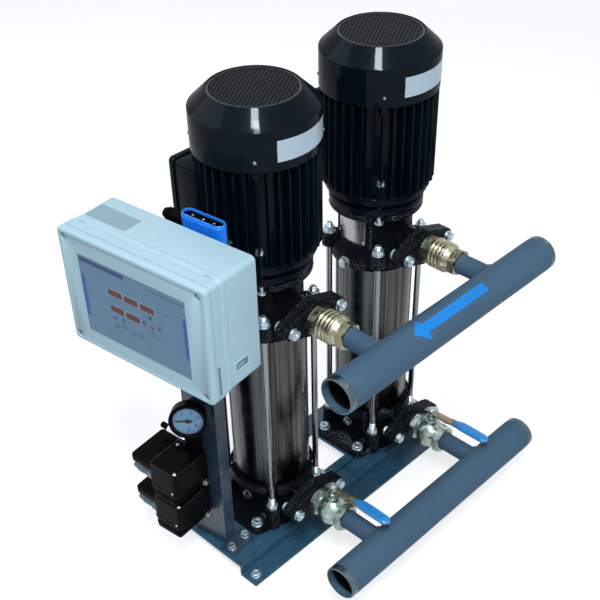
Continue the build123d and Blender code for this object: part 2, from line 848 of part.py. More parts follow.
def pump_plugs():
    """Vent plug on each head and drain plug on each foot."""
    parts = []
    for y in (front_pump_y, rear_pump_y):
        vent = Rot(90, 0, 0) * hexagon(plug_across, plug_height, casting_rim_r)
        drain = Rot(90, 0, 0) * hexagon(plug_across - 2, plug_height - 1, foot_waist_r)
        parts.append(Pos(0, y, deck_height + head_bottom + vent_rise) * vent)
        parts.append(Pos(0, y, deck_height + drain_height) * drain)
    return parts


# Control column


def on_column(shape):
    """Places something drawn from the foot of the post's front face."""
    return Pos(column_x, column_y, deck_height) * Rot(0, 0, column_turn) * shape


def post_bolt_spots():
    """Where the two bolts of the post's foot tab stand."""
    x = post_right + post_tab / 2
    return [(x, tab_middle - tab_bolt_pitch / 2), (x, tab_middle + tab_bolt_pitch / 2)]


def post():
    """Channel that carries the controls, with a foot tab bolted to the deck and a shelf on top."""
    t = post_sheet
    width = post_left + post_right
    middle = (post_right - post_left) / 2
    channel = block(width, post_depth, post_height, middle, post_depth / 2)
    channel -= block(width - 2 * t, post_depth, post_height, middle, post_depth / 2 + t)
    tab = block(post_tab + t, tab_depth, t, post_right - t + (post_tab + t) / 2, tab_middle)
    for x, y in post_bolt_spots():
        tab -= rod(post_bolt_r + loose, t, x, y)
    shelf_length = post_left + shelf_right
    shelf = block(shelf_length, shelf_depth, t, shelf_right - shelf_length / 2, shelf_depth / 2, post_height - t)
    whole = channel + tab + shelf
    for x, z in port_spots():
        whole -= Pos(x, 0, z) * to_y(rod(port_r + soft_gap, t))
    return whole


def port_spots():
    """Where the pressure ports pass through the post: both switches and the gauge block."""
    levels = [switch_bottom + level * switch_pitch + switch_height / 4 for level in (0, 1)]
    return [(switch_port_x, z) for z in levels] + [(bar_x, (bar_bottom + bar_top) / 2)]


def panel_body():
    """Back half of the control box: an open moulded tray."""
    depth = panel_depth - lid_depth
    z = panel_bottom + panel_height / 2
    tray = Pos(0, -depth / 2, z) * Box(panel_width, depth, panel_height)
    tray = fillet(tray.edges().filter_by(Axis.Y), panel_corner_r)
    hollow = Pos(0, -depth / 2 - panel_wall, z) * Box(
        panel_width - 2 * panel_wall, depth, panel_height - 2 * panel_wall)
    return tray - hollow


def panel_lid():
    """Front half of the control box, with a shallow recess for the front plate."""
    z = panel_bottom + panel_height / 2
    lid = Pos(0, -panel_depth + lid_depth / 2, z) * Box(panel_width + 4, lid_depth, panel_height + 4)
    lid = fillet(lid.edges().filter_by(Axis.Y), panel_corner_r)
    lid = fillet(lid.faces().sort_by(Axis.Y)[0].edges(), 4)
    hollow = Pos(0, -panel_depth + lid_depth / 2 + panel_wall, z) * Box(
        panel_width - 2 * panel_wall, lid_depth, panel_height - 2 * panel_wall)
    recess = Pos(0, -panel_depth + face_t / 2, z) * Box(face_width, face_t, face_height)
    lid -= hollow + recess
    for x, dz in corner_spots():
        lid -= Rot(90, 0, 0) * rod(5, 4, x, z + dz, panel_depth - 4)
    return lid


def corner_spots():
    """Centres of the four lid screws, measured from the middle of the lid."""
    x = panel_width / 2 - 11
    dz = panel_height / 2 - 11
    return [(sx * x, sz * dz) for sx in (1, -1) for sz in (1, -1)]


def panel_screws():
    """Slotted plastic screws in the corners of the lid."""
    z = panel_bottom + panel_height / 2
    parts = []
    for x, dz in corner_spots():
        head = rod(5 - soft_gap, 3.5, z=panel_depth - 4) - block(10, 1.2, 1.2, 0, 0, panel_depth - 1.7)
        parts.append(on_column(Pos(x, 0, z + dz) * Rot(90, 0, 0) * head))
    return parts


def panel_face():
    """Front plate with its displays and keys, in the lid's recess."""
    z = panel_bottom + panel_height / 2
    return Pos(0, -panel_depth + face_t / 2, z) * Box(
        face_width - 2 * soft_gap, face_t, face_height - 2 * soft_gap)


def port_stub(x, z):
    """Threaded pressure port through the post along +Y, with its lock nut behind the web."""
    return Pos(x, 0, z) * to_y(rod(port_r, post_sheet + 14) + hexagon(port_nut, 6, post_sheet))


def pressure_switch(level):
    """Pressure switch: cover, base, cable gland and the port through the post."""
    z = switch_bottom + level * switch_pitch
    x = -switch_left + switch_width / 2
    cover_h = switch_height * 0.7
    foot_h = switch_height - cover_h
    cover = Pos(x, -switch_depth / 2, z + switch_height - cover_h / 2) * Box(
        switch_width, switch_depth, cover_h)
    cover = fillet(cover.edges().filter_by(Axis.Z), 9)
    cover = fillet(cover.faces().sort_by(Axis.Z)[-1].edges(), 4)
    foot = Pos(x, -switch_depth / 2, z + foot_h / 2) * Box(switch_width - 10, switch_depth, foot_h)
    foot = fillet(foot.edges().filter_by(Axis.Z), 7)
    gland = Rot(0, -90, 0) * (hexagon(22, 8) + rod(9, 9, z=8))
    gland = Pos(-switch_left, -switch_depth + 20, z + switch_height / 2 + 2) * gland
    stub = port_stub(*port_spots()[level])
    return [on_column(piece) for piece in (cover, foot, gland, stub)]


def pressure_bar():
    """Brass bar on the front of the post that joins the gauge and the sensor to the port behind."""
    bar = block(bar_width, bar_width, bar_top - bar_bottom, bar_x, -bar_width / 2, bar_bottom)
    bar -= gauge_place() * rod(port_r + slip, gauge_reach, z=4)
    bar -= sensor_place() * rod(port_r + slip, bar_width, z=-6)
    return on_column(bar + port_stub(*port_spots()[2]))


def sensor_place():
    """From the sensor's own frame, with +Z along it and z = 0 at the bar's side, to the column."""
    return Pos(bar_x - bar_width / 2, -bar_width / 2, sensor_height) * Rot(0, sensor_tilt - 90, 0)


def pressure_sensor():
    """Stainless pressure sensor with its plug socket, screwed into the side of the bar."""
    hex_start = 1.0
    hex_length = 9.0
    socket_length = 16.0
    hex_end = hex_start + hex_length
    body = rod(port_r, hex_start + 6, z=-6) + hexagon(17, hex_length, hex_start)
    body += rod(sensor_r, sensor_length - socket_length - hex_end, z=hex_end)
    socket = rod(sensor_r - 3, socket_length, z=sensor_length - socket_length)
    return [on_column(sensor_place() * piece) for piece in (body, socket)]


def gauge_place():
    """From the gauge's own frame, with +Z out of the dial, to the column."""
    return (Pos(bar_x, -bar_width / 2, gauge_height) * Rot(0, 0, gauge_azimuth)
            * Rot(90 - gauge_tilt, 0, 0))


def on_dial(shape):
    """Places something drawn along the dial's axis, with z = 0 at the front rim of the case."""
    return on_column(gauge_place() * Pos(0, 0, gauge_reach) * shape)


def gauge_case():
    """Gauge case with its back stem, and the dial plate inside it."""
    rim = gauge_r - 4
    back = -gauge_depth
    case = turned((0, back), (rim, back), (gauge_r - 1, back + 3), (gauge_r - 1, -6), (gauge_r, -6),
                  (gauge_r, 0), (rim, 0), (rim, back + 5), (5, back + 5), (5, -9), (1.6, -9),
                  (1.6, back + 5), (0, back + 5))
    case += rod(port_r, gauge_reach - gauge_depth - 4, z=4 - gauge_reach)
    dial = ring(rim - slip, 1.6, 1.2, -9)
    return [on_dial(case), on_dial(dial)]


def gauge_glass():
    """Window of the gauge."""
    return on_dial(rod(gauge_r - 4 - slip, 1.6, z=-2.2))


def gauge_needle():
    """Needle of the gauge on its spindle, pointing to the left at rest."""
    tip = needle_length
    outline = make_face(Polyline((-tip, 0), (0, 1.4), (7, 1.6), (7, -1.6), (0, -1.4), close=True))
    hand = extrude(Pos(0, 0, -6) * outline, 0.6) + rod(2.6, 1.6, z=-6.4)
    return on_dial(hand + rod(1.55, 9, z=-15))


def supply_inlet():
    """Blue appliance inlet on the post's top: open shell, black insert and cable gland."""
    x = shelf_right - inlet_length / 2 - 1
    y = shelf_depth - inlet_depth / 2 - 2
    z = post_height
    shell = Pos(x, y, z) * extrude(SlotOverall(inlet_length, inlet_depth), inlet_height)
    hollow = SlotOverall(inlet_length - 2 * inlet_wall, inlet_depth - 2 * inlet_wall)
    shell -= Pos(x, y, z + inlet_wall) * extrude(hollow, inlet_height)
    core = SlotOverall(inlet_length - 2 * inlet_wall - 1, inlet_depth - 2 * inlet_wall - 1)
    insert = Pos(x, y, z + inlet_wall) * extrude(core, inlet_height - 14)
    gland = Pos(x - inlet_length / 2, y, z + 14) * Rot(0, -90, 0) * (
        rod(12, 16) + hexagon(22, 10, 16) + rod(8, 12, z=26))
    return [on_column(shell - gland), on_column(insert), on_column(gland)]


# Writing the nodes


def write(name, shape):
    """Writes one node, whose file name is the node's name."""
    solids = shape if isinstance(shape, list) else [shape]
    if len(solids) == 1:
        export_step(solids[0], f"parts/{name}.step")
    else:
        export_step(Compound(children=[Part() + s for s in solids]), f"parts/{name}.step")


def at_pump(shape, y):
    """Places something drawn about a pump's axis."""
    place = Pos(0, y, deck_height)
    if isinstance(shape, list):
        return [place * piece for piece in shape]
    return place * shape


os.makedirs("parts", exist_ok=True)

PUMP_PARTS = {
    "pump_foot": pump_foot, "sleeve": sleeve, "pump_head": pump_head,
    "coupling_guards": coupling_guards, "chambers": chambers, "impeller_shaft": impeller_shaft,
    "coupling": coupling, "motor_flange": motor_flange, "motor_frame": motor_frame,
    "stator": stator, "rotor": rotor, "fan": fan, "fan_cover": fan_cover,
    "terminal_box": terminal_box, "ball_valve": ball_valve, "valve_lever": valve_lever,
    "check_valve": check_valve, "check_poppet": check_poppet,
}

for part_name, make in PUMP_PARTS.items():
    drawn = make()
    write(part_name + "_front", at_pump(drawn, front_pump_y))
    write(part_name + "_rear", at_pump(drawn, rear_pump_y))

pump_places = (front_pump_y, rear_pump_y)
write("tie_rods", [s for y in pump_places for s in at_pump(tie_rods(), y)])
write("motor_bearings", [s for y in pump_places for s in at_pump(bearings(), y)])
write("shaft_seals", [at_pump(shaft_seal(), y) for y in pump_places])
write("port_flanges", port_flanges())
write("port_bolts", port_bolts())
write("deck_bolts", deck_bolts())
write("motor_bolts", motor_bolts())
write("pump_plugs", pump_plugs())
write("base_pan", base_pan())
write("suction_manifold", manifold(suction_x, deck_height + suction_height))
write("discharge_manifold", manifold(discharge_x, deck_height + discharge_height))
write("post", on_column(post()))
write("panel_body", on_column(panel_body()))
write("panel_lid", on_column(panel_lid()))
write("panel_face", on_column(panel_face()))
write("panel_screws", panel_screws())
write("pressure_switch_lower", pressure_switch(0))
write("pressure_switch_upper", pressure_switch(1))
write("pressure_bar", pressure_bar())
write("pressure_sensor", pressure_sensor())
write("gauge_case", gauge_case())
write("gauge_glass", gauge_glass())
write("gauge_needle", gauge_needle())
write("supply_inlet", supply_inlet())
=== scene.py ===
import json
from math import acos, copysign, cos, degrees, hypot, pi, radians, sin, sqrt, tan

import bmesh
import bpy
from mathutils import Matrix, Vector


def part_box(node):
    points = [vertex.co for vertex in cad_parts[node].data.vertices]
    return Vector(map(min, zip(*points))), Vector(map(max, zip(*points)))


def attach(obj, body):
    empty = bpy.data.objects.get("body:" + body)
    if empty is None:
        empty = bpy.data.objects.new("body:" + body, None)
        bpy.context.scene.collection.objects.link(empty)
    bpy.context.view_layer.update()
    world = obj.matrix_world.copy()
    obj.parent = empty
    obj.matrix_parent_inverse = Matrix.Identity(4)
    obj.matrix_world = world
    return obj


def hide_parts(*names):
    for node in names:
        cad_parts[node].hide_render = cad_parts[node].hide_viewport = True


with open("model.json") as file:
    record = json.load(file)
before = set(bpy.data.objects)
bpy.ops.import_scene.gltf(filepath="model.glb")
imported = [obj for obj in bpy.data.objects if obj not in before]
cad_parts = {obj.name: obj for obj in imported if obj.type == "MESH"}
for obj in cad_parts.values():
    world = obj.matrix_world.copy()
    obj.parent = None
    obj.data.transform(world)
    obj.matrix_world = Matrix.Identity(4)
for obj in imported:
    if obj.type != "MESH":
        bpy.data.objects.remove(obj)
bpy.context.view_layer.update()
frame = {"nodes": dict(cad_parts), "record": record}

# Twin booster pump set. Shapes are drawn in millimetres, and each piece is brought to metres
# when it is made. The pumps stand in a row along Y, the manifolds lie on the +X side.
MM = 0.001
nodes = frame["nodes"]


def node_box(name):
    """Lowest and highest corner of a CAD node, in millimetres."""
    low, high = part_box(name)
    return Vector(low) / MM, Vector(high) / MM


SIDES = ("front", "rear")
PUMP_Y = {side: sum(c.y for c in node_box("sleeve_" + side)) / 2 for side in SIDES}
DECK_Z = node_box("base_pan")[1].z

# The manifolds' middle and half length along Y, and how far the enamel reaches into them before the painted
# shade deeper inside begins
pipe_low, pipe_high = node_box("suction_manifold")
PIPE_MIDDLE = (pipe_low.y + pipe_high.y) / 2
PIPE_HALF = (pipe_high.y - pipe_low.y) / 2
PAINT_REACH = 13

# The column's own frame, at the foot of the post's front face
COLUMN_PLACE = (-5.0, -261.0, DECK_Z)
COLUMN_TURN = 6.5

# Camera: the photograph's own view, worked out from the places of some sixty points on the object
CAMERA_PLACE = Vector((1.0314, -1.0691, 1.470))
CAMERA_AZIMUTH = radians(44.84)
CAMERA_DOWN = radians(39.65)
CAMERA_ROLL = radians(-1.33)
IMAGE = 600.0
FOCAL_PX = 1074.4
CENTRE_PX = (301.08, 377.31)
SENSOR_MM = 36.0


def placed(name, data):
    """A new object in the scene."""
    thing = bpy.data.objects.new(name, data)
    bpy.context.scene.collection.objects.link(thing)
    return thing


def make_camera():
    """The camera at the photograph's place, with the lens and shift that its framing needs."""
    a, t = CAMERA_AZIMUTH, CAMERA_DOWN
    ahead = Vector((-sin(a) * cos(t), cos(a) * cos(t), -sin(t)))
    level = Vector((cos(a), sin(a), 0))
    above = level.cross(ahead)
    right = cos(CAMERA_ROLL) * level + sin(CAMERA_ROLL) * above
    top = cos(CAMERA_ROLL) * above - sin(CAMERA_ROLL) * level
    turn = Matrix((right, top, -ahead)).transposed()
    data = bpy.data.cameras.new("camera")
    data.sensor_width = SENSOR_MM
    data.lens = FOCAL_PX / IMAGE * SENSOR_MM
    data.shift_x = (IMAGE / 2 - CENTRE_PX[0]) / IMAGE
    data.shift_y = (CENTRE_PX[1] - IMAGE / 2) / IMAGE
    camera = placed("camera", data)
    camera.matrix_world = Matrix.Translation(CAMERA_PLACE) @ turn.to_4x4()
    bpy.context.scene.camera = camera


def lamp(name, place, aim, size, watts, colour):
    """A soft rectangular lamp that looks at a point."""
    data = bpy.data.lights.new(name, "AREA")
    data.shape = "RECTANGLE"
    data.size, data.size_y = size
    data.energy = watts
    data.color = colour
    light = placed(name, data)
    light.location = place
    light.rotation_euler = (Vector(aim) - Vector(place)).to_track_quat("-Z", "Y").to_euler()
    return light


def feed(socket, value):
    """Gives a node's socket a value, or the output of another node."""
    if isinstance(value, bpy.types.Node):
        value = value.outputs[0]
    if isinstance(value, bpy.types.NodeSocket):
        socket.id_data.links.new(value, socket)
    else:
        socket.default_value = (*value, 1) if socket.type == "RGBA" else value


def fill(node, *values, **named):
    """Feeds a node's first inputs in order, and others by name."""
    for socket, value in zip(node.inputs, values):
        feed(socket, value)
    for name, value in named.items():
        feed(node.inputs[name.replace("_", " ")], value)
    return node


def maths(tree, operation, first, second=0.0):
    """One sum of two values, each a number or another node's output."""
    made = tree.nodes.new("ShaderNodeMath")
    made.operation = operation
    return fill(made, first, second)


def seen_directly(tree):
    """1 for rays of the camera, of mirrors and through glass, 0 for the rays that light things."""
    ray = tree.nodes.new("ShaderNodeLightPath").outputs
    first = maths(tree, "MAXIMUM", ray["Is Camera Ray"], ray["Is Glossy Ray"])
    return maths(tree, "MAXIMUM", first, ray["Is Transmission Ray"])


def empty_tree(owner):
    """The bare node tree of a world or a material."""
    owner.use_nodes = True
    owner.node_tree.nodes.clear()
    return owner.node_tree


def make_world(ambient_strength):
    """White to the eye, and a weak cool light on the object."""
    bpy.context.scene.world = bpy.data.worlds.new("studio")
    tree = empty_tree(bpy.context.scene.world)
    ambient = fill(tree.nodes.new("ShaderNodeBackground"), (0.86, 0.93, 1.0), ambient_strength)
    white = fill(tree.nodes.new("ShaderNodeBackground"), (1, 1, 1), 1.0)
    mix = fill(tree.nodes.new("ShaderNodeMixShader"), seen_directly(tree), ambient, white)
    fill(tree.nodes.new("ShaderNodeOutputWorld"), mix)


def make_floor(half_width, glow_strength):
    """Pale floor that shows white where it is lit and keeps the object's shadow."""
    mesh = bpy.data.meshes.new("floor")
    r = half_width
    mesh.from_pydata([(-r, -r, 0), (r, -r, 0), (r, r, 0), (-r, r, 0)], [], [(0, 1, 2, 3)])
    mesh.materials.append(bpy.data.materials.new("floor"))
    tree = empty_tree(mesh.materials[0])
    matt = fill(tree.nodes.new("ShaderNodeBsdfDiffuse"), (0.5, 0.51, 0.52))
    level = maths(tree, "MULTIPLY", seen_directly(tree), glow_strength)
    glow = fill(tree.nodes.new("ShaderNodeEmission"), Strength=level)
    both = fill(tree.nodes.new("ShaderNodeAddShader"), matt, glow)
    fill(tree.nodes.new("ShaderNodeOutputMaterial"), both)
    placed("floor", mesh)


make_camera()
make_world(0.3)
make_floor(6.0, 0.7)
lamp("key", (1.2, -1.15, 3.1), (0, 0, 0.4), (0.34, 1.3), 64, (1.0, 1.0, 1.0))
strip = lamp("strip", (0.55, -0.63, 3.3), (0, 0, 0.8), (0.42, 0.7), 112, (0.8, 0.96, 1.0))
strip.visible_diffuse = False
lamp("side", (2.6, -0.2, 1.7), (0, 0, 0.4), (1.6, 2.0), 22, (0.92, 0.97, 1.0))
lamp("left", (-2.0, -1.2, 2.3), (0, 0, 0.5), (2.2, 2.0), 26, (0.86, 0.94, 1.0))
bpy.context.scene.view_settings.view_transform = "Standard"


# Materials. A noise is written as its grains to the metre, its detail and its stretch. Each row starts
# with a noise: a tone goes on with its deep and its pale colour, a sheen with its low and high
# roughness, a relief with its depth and strength, and a patch with its limits and its colour.

class Shader:
    """A node material that is built up step by step round one Principled shader."""

    def __init__(self, name, rough=0.5, metal=0.0, specular=0.5, coat=0.0):
        self.material = bpy.data.materials.new(name)
        self.material.use_nodes = True
        self.tree = self.material.node_tree
        self.main = self.tree.nodes["Principled BSDF"]
        fill(self.main, Metallic=metal, Roughness=rough, Specular_IOR_Level=specular, Coat_Weight=coat,
             Coat_Roughness=0.06)
        self.coords = self.node("TexCoord").outputs["Object"]
        self.normal = None

    def node(self, kind, *values, **named):
        return fill(self.tree.nodes.new("ShaderNode" + kind), *values, **named)

    def maths(self, *terms):
        return maths(self.tree, *terms)

    def mapped(self, stretch=(1, 1, 1), move=(0, 0, 0)):
        """Object coordinates in metres, stretched or moved."""
        return self.node("Mapping", Vector=self.coords, Location=move, Scale=stretch)

    def noise(self, grains, detail=3, stretch=(1, 1, 1), vector=None):
        """Soft noise over the object, or over another vector."""
        return self.node("TexNoise", Vector=vector or self.mapped(stretch), Scale=grains, Detail=detail)

    def ramp(self, value, low, high, bottom=0.0, top=1.0):
        """Maps a value from low..high to bottom..top."""
        return self.node("MapRange", value, low, high, bottom, top)

    def mix(self, factor, first, second):
        """Colour between two, each a colour or another node's output."""
        made = self.node("Mix")
        made.data_type = "RGBA"
        fill(made, factor)
        for socket, value in zip([s for s in made.inputs if s.type == "RGBA"], (first, second)):
            feed(socket, value)
        return [s for s in made.outputs if s.type == "RGBA"][0]

    def tone(self, noise, deep, pale):
        """Colour that wavers between two."""
        return self.mix(self.noise(*noise), deep, pale)

    def steps(self, value, *stops):
        """Colour ramp through stops of place and colour."""
        made = self.node("ValToRGB", value)
        elements = made.color_ramp.elements
        while len(elements) < len(stops):
            elements.new(0.5)
        for element, (place, colour) in zip(elements, stops):
            element.position = place
            element.color = (*colour, 1)
        return made

    def sheen(self, noise, low, high):
        """Roughness that wavers between two values."""
        fill(self.main, Roughness=self.ramp(self.noise(*noise), 0.3, 0.7, low, high))

    def bump(self, noise, depth, strength):
        """Relief of the given depth in metres, over the relief that is there."""
        made = self.node("Bump", Height=self.noise(*noise), Distance=depth, Strength=strength)
        if self.normal is not None:
            fill(made, Normal=self.normal)
        self.normal = made
        fill(self.main, Normal=made)

    def done(self, colour):
        """The material, when its colour is given."""
        fill(self.main, Base_Color=colour)
        return self.material


def mottled(name, tone, sheen=None, relief=None, patches=(), **values):
    """Material whose colour, roughness and relief waver, with patches of other colours on top."""
    s = Shader(name, **values)
    colour = s.tone(*tone)
    for noise, *limits, over in patches:
        colour = s.mix(s.ramp(s.noise(*noise), *limits), colour, over)
    if sheen:
        s.sheen(*sheen)
    if relief:
        s.bump(*relief)
    return s.done(colour)


def cast_paint():
    """Black paint over rough cast iron, with dust and specks, and lighter edges that are partly wear and
    partly painted highlight.
    """
    s = Shader("cast_paint", specular=0.02)
    dusty = s.tone((45,), (0.0015, 0.002, 0.003), (0.006, 0.008, 0.011))
    spotted = s.mix(s.ramp(s.noise(420, 2), 0.69, 0.73), dusty, (0.08, 0.095, 0.115))
    # Lighter edges: partly wear, partly a painted highlight where the edges catch light.
    edges = s.ramp(s.node("NewGeometry").outputs["Pointiness"], 0.52, 0.6)
    worn = s.maths("MULTIPLY", edges, s.ramp(s.noise(480, 2), 0.55, 0.63))
    s.sheen((70,), 0.22, 0.4)
    s.bump((520, 4), 0.0009, 0.5)
    s.bump((60, 2), 0.0012, 0.3)
    return s.done(s.mix(worn, spotted, (0.2, 0.24, 0.28)))


def polished_tube(name, axis_y):
    """Polished drawn steel whose colour holds painted reflections: narrow bands run along the tube and
    broad ones lie round it.
    """
    s = Shader(name, metal=1.0)
    spot = s.node("SeparateXYZ", s.mapped(move=(0, -axis_y * MM, 0))).outputs
    angle = s.maths("ARCTAN2", spot["Y"], spot["X"])
    across = s.node("CombineXYZ", s.maths("SINE", angle), s.maths("COSINE", angle),
                    s.maths("MULTIPLY", spot["Z"], 0.12))
    # Painted reflection: the grey bands round the tube, their cool tint and the brownish patches over them
    # stand in for the surroundings mirrored in the steel.
    broad, fine, tint = [s.noise(*kind, vector=across) for kind in ((3.4, 3), (16, 4), (2.1, 1))]
    reflection_bands = s.maths("ADD", s.maths("MULTIPLY", broad, 0.72), s.maths("MULTIPLY", fine, 0.28))
    grey = s.steps(reflection_bands, (0.36, (0.014, 0.013, 0.013)), (0.47, (0.04, 0.038, 0.037)),
                   (0.52, (0.1, 0.1, 0.098)), (0.57, (0.036, 0.036, 0.035)), (0.66, (0.17, 0.175, 0.17)))
    cool = s.mix(s.ramp(tint, 0.5, 0.62), grey, (0.055, 0.08, 0.086))
    s.sheen((40, 4), 0.18, 0.3)
    s.bump((700, 2, (1, 1, 0.02)), 0.0001, 0.3)
    return s.done(s.mix(s.ramp(s.noise(14, 4), 0.55, 0.8, 0, 0.5), cool, (0.08, 0.068, 0.06)))


def pipe_inside():
    """Painted shade inside the pipes: near-black deeper in, where light does not reach, with enamel just
    inside the mouths.
    """
    s = Shader("pipe_inside", 0.55, specular=0.05)
    along = s.node("SeparateXYZ", s.mapped(move=(0, -PIPE_MIDDLE * MM, 0))).outputs["Y"]
    line = PIPE_HALF - PAINT_REACH
    # Painted shade: past the enamel at the mouths, the bore turns near-black for the shade deep inside, not
    # for scale on the steel.
    painted = s.ramp(s.maths("ABSOLUTE", along), (line - 2) * MM, (line + 2) * MM)
    scale = s.tone((60, 4), (0.0015, 0.002, 0.003), (0.008, 0.01, 0.013))
    enamel = s.tone((90, 4), (0.05, 0.1, 0.15), (0.085, 0.16, 0.24))
    s.bump((300, 4), 0.0008, 0.5)
    return s.done(s.mix(painted, scale, enamel))


def clear_window():
    """Clear window of the gauge."""
    s = Shader("clear_window")
    fill(s.main, Transmission_Weight=1.0, IOR=1.2)
    s.sheen((60,), 0.02, 0.06)
    return s.done((0.9, 0.96, 1.0))


def sheet_paint(name, deep, pale):
    """Blue grey paint on folded sheet steel, with dusty patches and worn specks."""
    worn = tuple(1.5 * c for c in pale)
    return mottled(name, ((12, 4), deep, pale), ((35, 4), 0.18, 0.36), ((420, 2), 0.0003, 0.35),
                   [((55, 4), 0.5, 0.8, 0, 0.6, pale), ((330, 2), 0.7, 0.74, worn)], specular=0.45)


def moulding(name, pale, deep, rough=0.42, depth=0.0002, specular=0.3):
    """Moulded plastic in one hue with a fine grain."""
    return mottled(name, ((18, 3), deep, pale), ((60,), rough * 0.85, rough * 1.15),
                   ((1400, 2), depth, 0.3), specular=specular)


def printed(name, pale, deep, rough=0.3):
    """Printed film, a little uneven in tone."""
    return mottled(name, ((22, 2), deep, pale), None, ((1200, 2), 0.0001, 0.25), rough=rough,
                   specular=0.25)


